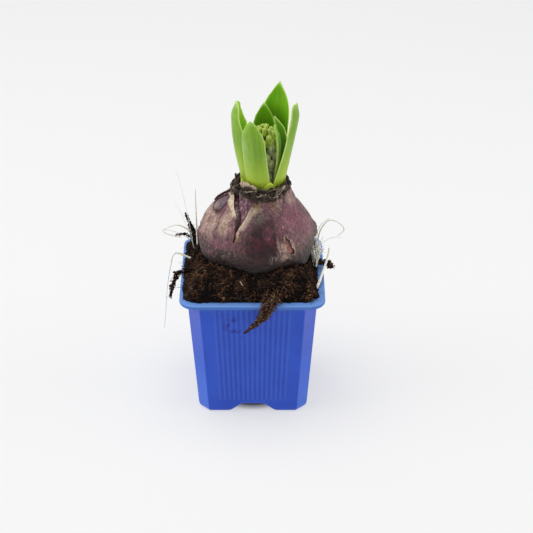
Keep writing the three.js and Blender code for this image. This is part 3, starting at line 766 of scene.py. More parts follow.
def tunic_scale(name, left, right, look, seed, replaces=(), foot=lambda turn: 64.0, paper=(0.22, -1)):
    """A papery scale between two edges. look gives, for the left and the right edge, how far it
    rolls out, how cream it is by height and how deep it tucks under, and how dark all is; paper
    gives its thickness and the side it grows to."""

    def place(u, v):
        middle = mix(left(104), right(104), u)
        z = mix(foot(middle), torn_top(middle, seed), v)
        turn = mix(left(z), right(z), u)
        arc = (right(z) - left(z)) * DEGREE
        edge, out = 0.0, -0.25
        for distance, roll, cream, tuck in zip(
            (u * arc, (1 - u) * arc), look["roll"], look["cream"], look["tuck"]
        ):
            near = bump_at(distance, 0.7 + 0.5 * rough(z, seed, size=2.5))
            wide = mix(6, 20, soft_step((z - 103.5) / 4)) + 1.2 * rough(z, seed + 2, size=3)
            flap = bump_at(distance, wide) ** 0.6 * cream(z) ** 2
            edge = max(edge, near * cream(z), flap)
            out += roll * bump_at(distance, 3.4) ** 1.4 * soft_step((z - 97) / 6)
            out -= tuck * bump_at(distance, 4)
        from_top = (1 - v) * (torn_top(middle, seed) - foot(middle))
        out += 0.45 * bump_at(from_top, 3) * (0.5 + 0.5 * rough(turn, 7, size=7))
        out += 0.15 * rough(turn * DEGREE, z * 0.4, seed, 1.8) + 0.4 * rough(turn * DEGREE, z, seed, 9)
        crest = 0.0
        if z < 94:  # low down the skin lies in short ridges, rubbed pale
            ridge = rough(turn * DEGREE, z * 1.7, seed + 9, 1.5) * bump_at(z - 85.5, 9)
            out += 0.55 * ridge
            crest = 0.3 * soft_step(ridge * 2.4 - 0.2) * (1 - 0.8 * bump_at(turn - 4, 24))
        out += 1.2 * bump_at(max(0, math.hypot((turn - 100) / 13, (z - 85.5) / 5) - 0.3), 0.7)
        folds = bump_at(math.hypot((turn - 18) / 10, (z - 85.5) / 4), 1)
        out += 0.35 * folds * math.sin(turn * 1.9 + z * 0.5)
        hole = tear_distance(turn, z)
        rim = bump_at(hole, 0.8)
        out += 0.45 * rim
        spot = wandering(turn, z)
        pale, dark, tan, pink, grey = (smear(*spot, patches) for patches in PATCHES.values())
        dark = max(look["dark"], dark, 0.7 * bump_at(from_top, 2.2))
        if turn > 0:
            edge = max(edge, 0.7 * rim * (0.5 + 0.5 * rough(turn, z, 9, 3)))
        else:
            # Painted shadow on the outer scale along the right side of the left tear, where its rim stands
            # proud.
            dark = max(dark, 1.2 * bump_at(hole, 1.7) * soft_step((turn + 86) / 10))
        return skin_point(turn, z, out), edge, max(crest, pale), dark, tan, pink, grey, hole

    across = round((right(88) - left(88)) * 0.96)  # faces are half a millimetre wide and tall
    up = round((torn_top(0, seed) - foot(0)) / 0.48)
    bm = bent_grid(across, up, place, SCALE_MARKS)
    hole_mark = bm.verts.layers.float["hole"]
    torn = [face for face in bm.faces if all(v[hole_mark] < 0 for v in face.verts)]
    bmesh.ops.delete(bm, geom=torn, context="FACES")
    face_outwards(bm)
    thicken(settle(bm, name, tunic, replaces), "paper", *paper)


# %% [markdown]
# Dry tunic is thin, brown to wine-red paper with a dull sheen. Sap pigment left it purple, age
# turns it tan and grey, and torn edges show bare cream fibre. Fine veins run from the root plate
# to the neck about every millimetre, the foot is darker in specks towards the peat, and low on the
# left the skin has shrunk into fine, wavy wrinkles whose creases are darkened with painted shade.

# %% Tunic paper
def wrinkles(tree, where):
    """The edges of wide, bent cells, low down and on the left only."""
    wavy = node(tree, "TexNoise", {"Vector": where, "Scale": every(3), "Detail": 2.0}, out="Color")
    bent = blend_colour(tree, 4 * MM, where, wavy, "ADD")
    squat = stretched(tree, bent, (1, 1, 2.3))
    cells = node(tree, "TexVoronoi", {"Vector": squat, "Scale": every(4.2)}, feature="DISTANCE_TO_EDGE")
    low = fade(tree, axis(tree, where, "Z"), 91 * MM, 87 * MM)
    left = fade(tree, axis(tree, where, "X"), 4 * MM, -6 * MM)
    fold = fade(tree, cells, 0.03, 0.2, 1.0, 0.0)
    return calc(tree, fold, "MULTIPLY", calc(tree, low, "MULTIPLY", left))


def tunic_material():
    """Dried scale leaf: papery, fibrous, IOR 1.45, half matt, veined lengthways."""
    made, tree, where = new_material("dry_tunic_paper")
    blotch = noise_at(tree, where, 5, 5.0, Roughness=0.62)
    speck = noise_at(tree, where, 1.1, 4.0, Roughness=0.7)
    vein = noise_at(tree, stretched(tree, where, (1, 1, 0.08)), 0.9)
    stain = noise_at(tree, where, 4.5, 5.0, Distortion=0.6)
    colour = ramp(tree, blotch, (0.3, "#56353C"), (0.7, "#916A6A"), (0.5, "#734C52"))
    noisy = calc(tree, blotch, "SUBTRACT", 0.5)
    # The pale and dark marks are partly painted highlight and painted shade, as the patches say.
    layers = (
        ("dark", 0.9, ramp(tree, stain, (0.4, "#240C12"), (0.62, "#4A1A26"))),
        ("pink", 0.9, "#854B5E"),
        ("grey", 0.9, "#675852"),
        ("tan", 1.0, "#7E6848"),
        ("pale", 1.2, "#C2A694"),
    )
    for name, spread, tint in layers:
        patch = mark(tree, name)
        uneven = calc(tree, patch, "ADD", calc(tree, noisy, "MULTIPLY", spread), clamp=True)
        gate = calc(tree, patch, "MULTIPLY", 3.0, clamp=True)
        colour = blend_colour(tree, calc(tree, uneven, "MULTIPLY", gate), colour, tint)
    for value, start, low, high in ((vein, 0.35, 0.66, 1.3), (speck, 0.3, 0.46, 1.64)):
        colour = blend_colour(tree, 1.0, colour, fade(tree, value, start, 0.7, low, high), "MULTIPLY")
    wrinkle = wrinkles(tree, where)
    # Painted shade in the wrinkles' creases.
    colour = tinted(tree, colour, (wrinkle, 0.0, 1.0, 0.7, "#340E14"))
    # Darker in specks towards the foot, where it meets the peat, and less where the skin is pink.
    darker_foot = fade(tree, axis(tree, where, "Z"), 89 * MM, 79.5 * MM)
    pink_spared = fade(tree, mark(tree, "pink"), 0.3, 1.0, 1.0, 0.35)
    darker_foot = calc(tree, calc(tree, darker_foot, "MULTIPLY", speck), "MULTIPLY", pink_spared)
    colour = blend_colour(tree, calc(tree, darker_foot, "MULTIPLY", 2.2, clamp=True), colour, "#1F1613")
    fibre = ramp(tree, speck, (0.35, "#B89C7E"), (0.65, "#EADCC2"))
    colour = tinted(tree, colour, (mark(tree, "edge"), 0.15, 0.65, 0.94, fibre))
    uneven = calc(tree, calc(tree, vein, "ADD", speck), "SUBTRACT", wrinkle)
    surface(tree, colour, fade(tree, blotch, low=0.4, high=0.6), 1.45, relief(tree, uneven, 0.6, 0.35))
    return made


# %% [markdown]
# Three scales cover the bulb: on the left, in front and behind. Only where two have split apart
# are their edges rolled out and cream.

# %% Place the scales
def never(z):
    """An edge that is nowhere cream."""
    return 0.0


def flap_cream(z):
    """The left scale's edge is cream where it rolls out, high up."""
    return mix(0.1, 1.0, soft_step((z - 100.5) / 3.5)) * soft_step((z - 96) / 2)


def front_cream(z):
    """The front scale's edge is cream along the upper split, and fainter right at its top."""
    fainter = 1 - 0.45 * soft_step((z - 105) / 3)
    return 0.84 * soft_step((z - 96) / 3) * fainter * (0.85 + 0.15 * rough(z, 2, size=2))


tunic = tunic_material()
plain = {"roll": (0.0, 0.0), "cream": (never, never), "tuck": (0.0, 0.0), "dark": 0.0}
left_look = {**plain, "roll": (0.0, 0.7), "cream": (never, flap_cream)}
front_look = {**plain, "roll": (0.5, 0.0), "cream": (front_cream, never)}
back_look = {**plain, "tuck": (0.35, 0.35)}
remnant_look = {**plain, "roll": (0.0, 1.0), "cream": (never, lambda z: 0.3), "dark": 0.9}
tunic_scale("tunic_left_scale", seam(-174), split_left, left_look, 1, ["tunic_left"])
tunic_scale("tunic_front_scale", split_right, seam(97), front_look, 2, ["tunic_front"])
tunic_scale("tunic_back_scale", seam(93), seam(188), back_look, 3, ["tunic_back"])

# %% [markdown]
# A scrap of an older, darker skin still clings to the shoulder on the far left, so the outline
# there is broken and brown. It is one more scale, short and narrow, that stands a little proud.

# %% Dark remnant on the left shoulder
def remnant_edge(z):
    """The scrap's torn edge, seen from the front."""
    route = [(96, -122), (100, -110), (103, -106), (106, -99), (109, -86), (111, -78)]
    return ragged(through(route, z), z, 23, 2.5)


def remnant_foot(turn):
    """The scrap's torn lower end."""
    return 97.5 + 2.2 * rough(turn, 31, size=6) + rough(turn, 37, size=2)


edges = (seam(-158), remnant_edge)
tunic_scale("tunic_remnant", *edges, remnant_look, 4, foot=remnant_foot, paper=(0.35, 1))

# %% [markdown]
# Behind the two tears lies the next skin down, a whole dry scale of its own: smooth, purple-grey
# and chalky low down behind the left tear, raw and reddish behind the right one, and in painted
# shade where the torn rim overhangs it. A small curved plate under each hole, a hair above the
# flesh, is all that shows of it.

# %% Under-skin behind the tears
def under_skin_material(name, colours):
    """A younger dry scale: smooth, thin, IOR 1.45, half matt."""
    made, tree, where = new_material(name)
    streak = noise_at(tree, where, 1.2, 4.0)
    colour = tinted(
        tree,
        ramp(tree, streak, *colours),
        (mark(tree, "chalky"), 0.0, 1.0, 0.5, "#BEAFA8"),
        (mark(tree, "shade"), 0.0, 1.0, 0.9, "#3A0F18"),
    )
    surface(tree, colour, 0.5, 1.45, relief(tree, streak, 0.5, 0.2))
    return made


PLATE_DEPTH = 0.6  # below the bulb's outline


def under_plate(name, turn_range, z_range, colours):
    """A curved plate behind a tear, wider than the hole."""

    def place(u, v):
        turn, z = mix(*turn_range, u), mix(*z_range, v)
        inward = -tear_distance(turn, z)
        # Painted shade where the torn rim overhangs the plate.
        shade = bump_at(max(0, inward), 3.0) * soft_step((turn + 90) / 12)
        shade *= 1 if turn < 0 else soft_step((turn - 30 - 0.8 * (91 - z)) / 4)
        chalky = soft_step((103.4 - z) / 3) * soft_step((-turn - 74) / 10)
        return skin_point(turn, z, 0.1 * rough(turn * DEGREE, z, 5, 1.5) - PLATE_DEPTH), shade, chalky

    bm = bent_grid(80, 50, place, ("shade", "chalky"))
    face_outwards(bm)
    piece = settle(bm, name, under_skin_material(name + "_skin", colours))
    thicken(piece, "paper", 0.15, -1)


under_plate("under_lens", (-108, -58), (97.5, 109.3), [(0.3, "#42313B"), (0.7, "#846C77")])
under_plate("under_gash", (24, 44), (84.5, 98), [(0.3, "#7A4038"), (0.7, "#C08678")])

# %% [markdown]
# ## The withered collar
# Round the neck lie the withered tips of last year's leaves and scales: black-brown, brittle and
# fibrous, some bleached to cream where they split. Short upright strips make the ring, and torn
# bands wind along it, over and under each other, as the dead tissue does. A strip narrows and
# frays towards its tip.

# %% Collar shreds
def shred(turn, wide, low, high, lean, pale, seed):
    """One torn strip: turn and width in degrees, foot and tip heights, and how far it leans out."""

    def place(u, v):
        narrow = 1 - 0.75 * v**1.6 * (0.7 + 0.3 * rough(seed, v, size=0.4))
        side = turn + wide * (u - 0.5) * narrow + 7 * rough(seed, v, 4, 0.8) * v
        tip = mix(high, high - 1.4, abs(u - 0.45 - 0.2 * rough(seed, 2))) + 0.8 * rough(u * 3, seed)
        radius = 13.2 + 0.5 * math.sin(math.pi * min(1, v * 1.2)) + (lean - 1.9) * v**1.3
        radius += 0.8 * rough(u * 2.2, v * 2.5, seed)
        point = off_axis(mix(NECK_X, COLLAR_X, v), radius, side, mix(low, tip, v))
        return point, min(1, pale + 0.5 * max(0, v - 0.7) * pale + 0.15 * rough(seed, u * 2, v))

    return bent_grid(6, 9, place, ("pale",))


# %% [markdown]
# The bands keep to a ring that leans in from the bulb's shoulder to the leaves. The ring ends
# higher up on the right, and a little on the left.

# %% Collar bands
def collar_radius(z):
    """The collar leans in from the bulb's shoulder to the leaves."""
    return through([(108, 15.0), (110, 14.5), (112.5, 13.5), (115, 12.7), (118, 12.2)], z)


def collar_floor(turn):
    """The collar's lowest height round the neck."""
    return 110.2 + 3.4 * bump_at(turn - 72, 48) + 1.6 * bump_at(turn + 44, 26)


def wisp(turn, span, low, rise, wide, out, pale, seed):
    """A torn band that lies along the neck: where it starts, how far round, its height and lift."""

    def place(u, v):
        thin = 1 - abs(2 * u - 1) ** 3
        z = low + rise * u + wide * (v - 0.5) * (0.15 + 0.85 * thin) + 0.7 * rough(u * 3, seed)
        z += 0.35 * rough(u * 9, v * 2, seed)
        side = turn + span * u
        signed = (side + 180) % 360 - 180
        z -= 1.8 * soft_step((abs(signed) - 50) / 40) * soft_step((z - 109) / 6)
        z = max(z, mix(z, collar_floor(signed) + 0.8 * (v - 0.5) * wide, 0.9))
        radius = collar_radius(z) + out + 0.5 * rough(u * 2, seed + 3) + 0.4 * (v - 0.5) * rough(seed, 5)
        radius -= 0.9 * bump_at(side - 90, 70)
        point = off_axis(mix(NECK_X, COLLAR_X, soft_step((z - 110) / 7)), radius, side, z)
        return point, min(1, pale * (0.8 + 0.4 * v) + 0.2 * rough(seed, u * 3, v))

    return bent_grid(14, 3, place, ("pale",))


# %% [markdown]
# Dead leaf tissue is stringy, matt and nearly black. Where it has split, it is bleached.

# %% Withered leaf bases
def withered_material():
    """Withered leaf base: dead, brittle tissue, black-brown and fibrous, cream where it split."""
    made, tree, where = new_material("withered_scale")
    streak = noise_at(tree, stretched(tree, where, (1, 1, 0.25)), 0.8, 4.0)
    dead = ramp(tree, streak, (0.35, "#0C0706"), (0.75, "#4C362C"))
    bleached = ramp(tree, streak, (0.3, "#8E7258"), (0.65, "#D6C6AC"))
    colour = tinted(tree, dead, (mark(tree, "pale"), 0.2, 0.95, 1.0, bleached))
    surface(tree, colour, 0.75, 1.45, relief(tree, streak, 0.7, 0.3))
    return made


# %% [markdown]
# Seven strips and seven bands are listed one by one, where the eye expects a longer or paler flap.
# A seeded generator varies the rest: the ring of strips, broad flakes in front, and thin bands all
# round that leave hardly a gap.

# %% The whole collar
UPRIGHT_SHREDS = [
    (-66, 8, 111, 120.8, 0.7, 0.1),
    (-74, 9, 110, 117.0, 1.0, 0.3),
    (-88, 12, 109.5, 115.6, 1.6, 0.5),
    (-98, 9, 109.5, 117.0, 1.6, 0.1),
    (62, 12, 110.5, 117.2, 0.8, 0.3),
    (70, 8, 110.5, 118.4, 1.2, 0.05),
    (84, 10, 109.5, 116.6, 1.4, 0.1),
]
FLAPS = [
    (-60, 30, 115.6, 1.0, 3.0, -0.1, 0.95),
    (-38, 26, 116.0, -0.4, 2.4, 0.05, 0.85),
    (24, 34, 112.0, 3.6, 1.8, 0.7, 0.75),
    (16, 26, 111.0, 1.6, 1.2, 0.8, 0.6),
    (-50, 24, 112.4, -2.2, 1.6, 0.6, 0.5),
    (-4, 26, 113.2, -1.6, 0.6, 0.8, 0.6),
    (-14, 20, 111.8, 1.4, 0.5, 0.8, 0.55),
]
draw = random.Random(7)
strips = [shred(*row, seed=3.7 * n) for n, row in enumerate(UPRIGHT_SHREDS)]
strips += [wisp(*row, seed=5.3 * n) for n, row in enumerate(FLAPS)]
for n in range(40):
    high = draw.uniform(114.2, 116.0) - (1.6 if 6 < n < 34 else 0)
    at = (9 * n + draw.uniform(-3, 3) + 180) % 360 - 180
    strips.append(shred(at, 18, collar_floor(at), high, draw.uniform(-0.3, 0.5), 0.0, 11.3 * n))
for n in range(24):
    low, pale = draw.uniform(111, 114), draw.choice((0.0, 0.05, 0.3))
    slant, out = draw.uniform(-2.6, 2.6), draw.uniform(0.6, 1.3)
    place_at = (draw.uniform(-80, 80), draw.uniform(8, 18))
    strips.append(wisp(*place_at, low, slant, draw.uniform(1.2, 2.6), out, pale, 9.3 * n))
for n in range(150):
    low = draw.uniform(110.4, 115.8)
    place_at = (draw.uniform(0, 360), draw.uniform(12, 44))
    slant = draw.uniform(-2.6, 2.6) * min(1, (117 - low) / 3)
    wide, out = draw.uniform(0.0, 0.8), draw.uniform(0.1, 1.1)
    pale = draw.choice((0.0, 0.0, 0.0, 0.0, 0.05, 0.1, 0.2, 0.5))
    strips.append(wisp(*place_at, low, slant, wide, out, pale, 7.1 * n))
collar = settle(merged(strips), "withered_collar", withered_material(), ["neck_collar"])
thicken(collar, "shred_thickness", 0.25, 0)

# %% [markdown]
# ## The leaves
# A hyacinth leaf is a thick, fleshy channel with a hooded tip. It could be a flat strip with a
# thickness, but a real leaf is fattest along the middle and thins to a rounded margin, so the
# grid is wrapped round the leaf's section instead: its columns run across the outer face and back
# across the inner one, and its rows run from the foot to the tip. Marks keep how far across,
# how far along and which face a vertex is on.

# %% Leaf shapes
# turn round the neck, distance of the foot, lean, belly, drift, width, foot width, curl, tip
# height, how late it narrows, how blunt its tip is (small is blunt), and its twist
LEAVES = {
    "leaf_left": (-103, 8.4, 6.4, 1.8, -1, 15.4, 11.6, 7.6, 153.6, 3.4, 0.6, 10),
    "leaf_front": (-18, 8.4, 4.4, 1.4, -2.6, 11.6, 12.2, 8, 149.6, 3.0, 0.8, 0),
    "leaf_right": (62, 8.2, 10.5, 0.3, 1.2, 7.8, 11.4, 7, 157.3, 1.9, 0.3, 0),
    "leaf_back_tall": (150, 8.4, 5.4, 1.6, -2.2, 16, 10.8, 8.6, 161.3, 2, 0.9, 0),
    "leaf_back_inner": (174, 5.7, 3.4, 1, 0.3, 11.6, 8, 7, 151.3, 2.2, 0.8, 0),
    "leaf_inner_back": (102, 5.7, 1.8, 2.4, 1.6, 6.4, 4.6, 4.5, 146.4, 2.0, 0.7, 66),
    "leaf_inner_right": (54, 5.7, 1.8, 2.2, 0.9, 2.7, 3.0, 2.2, 144.6, 2.8, 0.5, 0),
}
LEAF_FOOT = 105.8
LEAF_WELD = 0.0005


NARROWS = 0.62  # how far up a leaf starts to narrow
RIB_THICK, MARGIN_THICK = 1.6, 0.6  # along the middle and at the margins


def leaf_rule(turn, stem, lean, belly, drift, width, foot, curl, tip, point, blunt, twist):
    """The rule that wraps a grid round one leaf."""
    angle = math.radians(turn)
    outward = Vector((math.sin(angle), -math.cos(angle), 0))
    sideways = Vector((math.cos(angle), math.sin(angle), 0))
    broadways = Matrix.Rotation(math.radians(twist), 3, "Z") @ sideways

    def midrib(t):
        hook = 1.6 * soft_step((t - 0.86) / 0.14)
        out = stem + lean * t + belly * math.sin(math.pi * max(0, t) ** 1.4) - hook
        line = Vector((LEAF_X, BULB_Y, mix(LEAF_FOOT, tip, t)))
        return line + outward * out + sideways * (drift * t * t)

    def place(u, v):
        t = 1 - (1 - v) ** 1.9
        along = (midrib(min(1, t + 0.01)) - midrib(max(0, t - 0.01))).normalized()
        normal = broadways.cross(along).normalized()
        taper = min(1, max(0, (t - NARROWS) / (1 - NARROWS)))
        half = mix(foot, width, soft_step(t / NARROWS)) / 2 * max(0.02, (1 - taper**point) ** blunt)
        rolled = mix(stem, curl, soft_step(t / 0.5))
        radius = mix(rolled, half / math.sin(math.radians(58)), soft_step(taper * 1.3))
        bend = math.asin(min(0.97, half / radius))
        ring = 2 * math.pi * u
        across, face = -math.cos(ring), math.sin(ring)
        thick = mix(RIB_THICK, MARGIN_THICK, across**2) * mix(1, 0.6, soft_step((t - 0.8) / 0.2))
        side = math.copysign(abs(face) ** 0.6, face) * thick / 2
        ripple = 0.03 * math.sin(across * half * 6.5 + 2 * rough(t * 3, turn))
        facing = normal * math.cos(across * bend) + broadways * math.sin(across * bend)
        point_at = midrib(t) - normal * radius + facing * (radius + side + ripple)
        margin = soft_step((1.1 - half * (1 - abs(across))) / 1.1)
        return point_at, across * half, t * (tip - LEAF_FOOT), face, margin, t

    return place


# %% [markdown]
# Leaf flesh is full of water and green cells: light goes in and comes out again, yellower. The
# outer face wears a thin pale bloom of wax, laid on towards the left as a painted sheen where the
# light falls; the inner face is a purer green, darkened downwards by painted shade and given
# painted light on the left; the thin margins and the tips are painted lighter, as light shines
# through them; and the foot, which grew in the dark inside the bulb, is yellow-green. Fine
# parallel veins run lengthways about every half millimetre.

# %% Leaf material
LEAF_MARKS = ("leaf_across", "leaf_along", "leaf_face", "leaf_margin", "leaf_height")


def leaf_material():
    """Fleshy young leaf: waxy cuticle, IOR 1.42, satin, with light scattering inside."""
    made, tree, where = new_material("hyacinth_leaf")
    across, along, face, margin, height = (mark(tree, name) for name in LEAF_MARKS)
    flat = node(tree, "CombineXYZ", {"X": across, "Y": along, "Z": face})
    vein_place = {"Vector": stretched(tree, flat, (1.5, 0.05, 1)), "Scale": 1.0, "Detail": 3.0}
    vein = node(tree, "TexNoise", vein_place)
    cloud = node(tree, "TexNoise", {"Vector": flat, "Scale": 0.22, "Detail": 2.0})
    outer = ramp(tree, vein, (0.3, "#76A220"), (0.7, "#8CB632"))
    # Painted sheen: the pale wax bloom is laid on towards the left, where the light falls.
    sheen_on_left = fade(tree, across, 1.0, -6.0, 0.0, 0.75)
    bloom_and_sheen = calc(tree, sheen_on_left, "MULTIPLY", fade(tree, cloud, 0.3, 0.7))
    outer = blend_colour(tree, bloom_and_sheen, outer, "#AECB7C")
    outer = tinted(
        tree, outer, (height, 0.62, 0.2, 1.0, "#B6D03A"), (height, 0.24, 0.12, 0.6, "#DCE65A")
    )
    inner = ramp(tree, vein, (0.3, "#78B614"), (0.7, "#8ECA20"))
    lit = (axis(tree, where, "X"), 1 * MM, -3 * MM, 0.75, "#B8E84A")
    # Painted shade: the inner face darkens downwards, deep in the channel.
    inner = tinted(tree, inner, (along, 43.0, 20.0, 1.0, "#3A7612"), lit)
    colour = tinted(
        tree,
        inner,
        (face, -0.15, 0.15, 1.0, outer),
        # Painted light: the thin margins and the tips are lighter, as light shines through them.
        (margin, 0.2, 1.0, 0.8, "#CFE884"),
        (height, 0.94, 1.0, 0.6, "#BEE084"),
    )
    inside = (0.5, (0.9, 1.2, 0.25), 1.6)
    surface(tree, colour, 0.42, 1.42, relief(tree, vein, 0.14, 0.15), inside)
    return made


leaf_green = leaf_material()
for leaf_name, shape in LEAVES.items():
    leaf_bm = closed(bent_grid(48, 72, leaf_rule(*shape), LEAF_MARKS), LEAF_WELD)
    settle(leaf_bm, leaf_name + "_blade", leaf_green, [leaf_name])

# %% [markdown]
# Low down the leaves sheathe one another and fill the neck. A short, wavy ring between their feet
# stands for those overlapping bases, in the same flesh, so that no black gap opens between them.
# It stands up in a taller tongue at the front.

# %% Leaf bases
def place_sheath(u, v):
    """Goes up the outside of the ring, over its soft top and down the inside."""
    a = 2 * math.pi * u
    top = 114.2 + 1.2 * math.sin(3 * a + 0.4) + 0.5 * math.sin(7 * a)
    top += 1.8 * bump_at(max(0, abs(360 * u - 17) - 5), 13)
    rise = min(1, 2 * v, 2 - 2 * v)
    radius = mix(10.8, 9.0, soft_step((v - 0.42) / 0.16)) - 0.5 * rise**3 * (0.5 - v)
    z = mix(LEAF_FOOT, top, math.sin(math.pi / 2 * rise))
    return off_axis(LEAF_X, radius, 360 * u, z), 40 * u, z, 1.0, 0.0, 0.2 * rise


sheath_bm = bent_grid(96, 24, place_sheath, LEAF_MARKS)
weld(sheath_bm, LEAF_WELD)
face_outwards(sheath_bm)
settle(sheath_bm, "leaf_sheaths", leaf_green)

# %% [markdown]
# ## The flower spike
# The spike is a thick stalk crowded with closed buds. A bud is six tepals folded into a blunt
# oblong with six shallow furrows that meet at its tip, on a very short stem. One bud is modelled
# once, from a round ball, and then set round the stalk in whorls; low buds are bigger and
# already greyish purple, and the crowded top ones are small and yellow-green. Marks keep a bud's
# height, its furrows and the sides that face the gaps between buds; the material darkens the
# furrows, each bud's foot and those sides with painted shade. Eight long green ones at the
# foot stand for the stems that show between the leaves.

# %% One bud
BARREL = [(0, 0), (0.06, 0.42), (0.25, 0.78), (0.55, 1), (0.8, 0.94), (0.93, 0.66), (1, 0)]


def six_folds(x, y):
    """1 along the six furrows and 0 between them."""
    return (0.5 - 0.5 * math.cos(6 * math.atan2(y, x))) ** 2


def bud_mesh():
    """A unit bud: 1 in radius and from 0 to 1 in height, furrowed by its six tepals."""
    bm = bmesh.new()
    bmesh.ops.create_uvsphere(bm, u_segments=24, v_segments=14, radius=1)
    for vertex in bm.verts:
        x, y, z = vertex.co
        high = (z + 1) / 2
        furrow = 1 - 0.07 * six_folds(x, y) * soft_step((high - 0.05) / 0.4)
        ring = math.hypot(x, y)
        if ring > 1e-6:
            wide = through(BARREL, high) * furrow
            vertex.co.x, vertex.co.y = x / ring * wide, y / ring * wide
        vertex.co.z = high
    return to_mesh(bm, "one_bud")


def strewn(template, placements, marks=("tone",)):
    """Copies of a small mesh in one bmesh; each placement bends the copy and fills its marks."""
    bm = bmesh.new()
    layers = [bm.verts.layers.float.new(mark) for mark in marks]
    for move, values in placements:
        start = len(bm.verts)
        bm.from_mesh(template)
        bm.verts.ensure_lookup_table()
        for vertex in bm.verts[start:]:
            own = vertex.co.copy()
            vertex.co = move(own)
            for layer, value in zip(layers, values):
                vertex[layer] = value(own) if callable(value) else value
    return bm


# %% [markdown]
# Six whorls of buds climb the stalk, each turned half a step from the one below, and small ones
# close the top. A seeded generator turns, tilts and ripens every bud a little differently.

# %% Buds round the stalk
SPIKE_X, SPIKE_Y = 6.0, 3.0
BUD_LOW, BUD_TOP, TOP_BUD = 114.5, 145.6, 11.2
BUD_MARKS = ("tone", "bud_height", "furrow", "gap")


def bud_place(turn, foot, length, radius, away, tilt, tone):
    """Stands a bud beside the stalk: foot height, distance from the axis and tilt outwards."""
    spin = Matrix.Rotation(math.radians(turn), 4, "Z")
    lean = Matrix.Rotation(-math.radians(tilt), 4, "X")
    place = Matrix.Translation((SPIKE_X, SPIKE_Y, 0)) @ spin @ Matrix.Translation((0, -away, foot)) @ lean
    size = Matrix.Diagonal((radius, radius, length, 1))

    def furrow(own):
        return six_folds(own.x, own.y) * soft_step((own.z - 0.1) / 0.4)

    def gap(own):
        outward = -own.y / max(0.01, math.hypot(own.x, own.y))
        return soft_step((0.45 - outward) / 0.6) * (1 - soft_step((own.z - 0.72) / 0.22))

    return (lambda own: place @ size @ own), (tone, lambda own: own.z, furrow, gap)


draw = random.Random(11)
buds = []
for n in range(8):
    move, _ = bud_place(45 * n + 22, 106.5, 15.0 + draw.uniform(-1, 1), 2.2, 5.0, 2, 0.3)
    buds.append((move, (0.38, 0.6, 0.0, 0.0)))
for row in range(6):
    share = row / 5
    foot = mix(BUD_LOW, BUD_TOP - TOP_BUD, share)
    count = 6 if row < 4 else 8
    for n in range(count):
        turn = 360 / count * (n + 0.5 * (row % 2)) + draw.uniform(-9, 9)
        size = draw.uniform(0.9, 1.08) * (1 if row < 4 else 0.8)
        tilt = mix(1, 7, share) + draw.uniform(-3, 3) - 9 * soft_step((share - 0.7) * 4)
        away = mix(4.3, 4.0, share) + draw.uniform(-0.3, 0.4)
        tone = share + draw.uniform(-0.25, 0.25)
        foot_at = foot + draw.uniform(-1.1, 1.1)
        buds.append(bud_place(turn, foot_at, 8.0 * size, 2.05 * size, away, -tilt, tone))
for n in range(10):  # seven small ones in a ring, and three inside it, close the top
    if n < 7:
        away, size, high, turn = 3.3, 1.25, 137.9, 360 / 7 * n + draw.uniform(-10, 10)
    else:
        away, size, high, turn = 1.25, 1.15, 138.4, 120 * n + 25
    buds.append(bud_place(turn, high + draw.uniform(-0.7, 0.5), 5.0, size, away, 5, 1.1))
spike_bm = strewn(bud_mesh(), buds, BUD_MARKS)
print("buds and stems:", len(buds))

# %% [markdown]
# The stalk itself is a juicy, ribbed stem. It is turned from a circle that is pulled up in
# steps, and only shows in the gaps low down, between the first buds and the leaf bases.

# %% Stalk
stalk_bm = bmesh.new()
layers = [stalk_bm.verts.layers.float.new(mark) for mark in BUD_MARKS]
bmesh.ops.create_circle(stalk_bm, cap_ends=True, radius=4.6, segments=24)
bmesh.ops.translate(stalk_bm, vec=(SPIKE_X, SPIKE_Y, LEAF_FOOT), verts=stalk_bm.verts)
top_face = stalk_bm.faces[:][0]
to_axis = Matrix.Translation((-SPIKE_X, -SPIKE_Y, 0))
for rise, wider in ((8, 1.0), (6, 0.86), (8, 0.9), (8, 0.9), (2, 0.7)):
    top_face = bmesh.ops.extrude_discrete_faces(stalk_bm, faces=[top_face])["faces"][0]
    bmesh.ops.translate(stalk_bm, vec=(0, 0, rise), verts=top_face.verts)
    bmesh.ops.scale(stalk_bm, vec=(wider, wider, 1), space=to_axis, verts=top_face.verts)
face_outwards(stalk_bm)
for vertex in stalk_bm.verts:
    vertex[layers[1]] = 0.55  # halfway up a bud, as the material sees it
spike_bm.from_mesh(to_mesh(stalk_bm, "stalk"))


def bud_material():
    """Closed tepals: tight, waxy green skin with purple sap below, IOR 1.42, satin."""
    made, tree, where = new_material("green_buds")
    tone, high, furrow, gap = (mark(tree, name) for name in BUD_MARKS)
    cloud = noise_at(tree, where, 1.6)
    young = ramp(tree, cloud, (0.35, "#8AAA28"), (0.7, "#C6DC4C"))
    ripe = ramp(tree, cloud, (0.35, "#767068"), (0.7, "#B2B896"))
    colour = tinted(tree, ripe, (tone, 0.3, 0.85, 1.0, young), (high, 0.55, 0.95, 0.75, "#C4D468"))
    # Painted shade at the foot of each bud, where the buds crowd.
    root = fade(tree, high, 0.42, 0.05, high=0.7)
    shut = fade(tree, tone, 0.15, 0.5, 0.35, 1.0)
    colour = blend_colour(tree, calc(tree, root, "MULTIPLY", shut), colour, "#333A1E")
    # Painted shade in the furrows and on the sides that face the gaps between buds.
    colour = tinted(
        tree, colour, (furrow, 0.4, 1.0, 0.5, "#53482C"), (gap, 0.1, 0.9, 0.85, "#2E2418")
    )
    inside = (0.2, (0.9, 1.1, 0.3), 0.8)
    surface(tree, colour, 0.45, 1.42, relief(tree, cloud, 0.3, 0.2), inside)
    return made


settle(spike_bm, "bud_spike", bud_material(), ["flower_spike"])

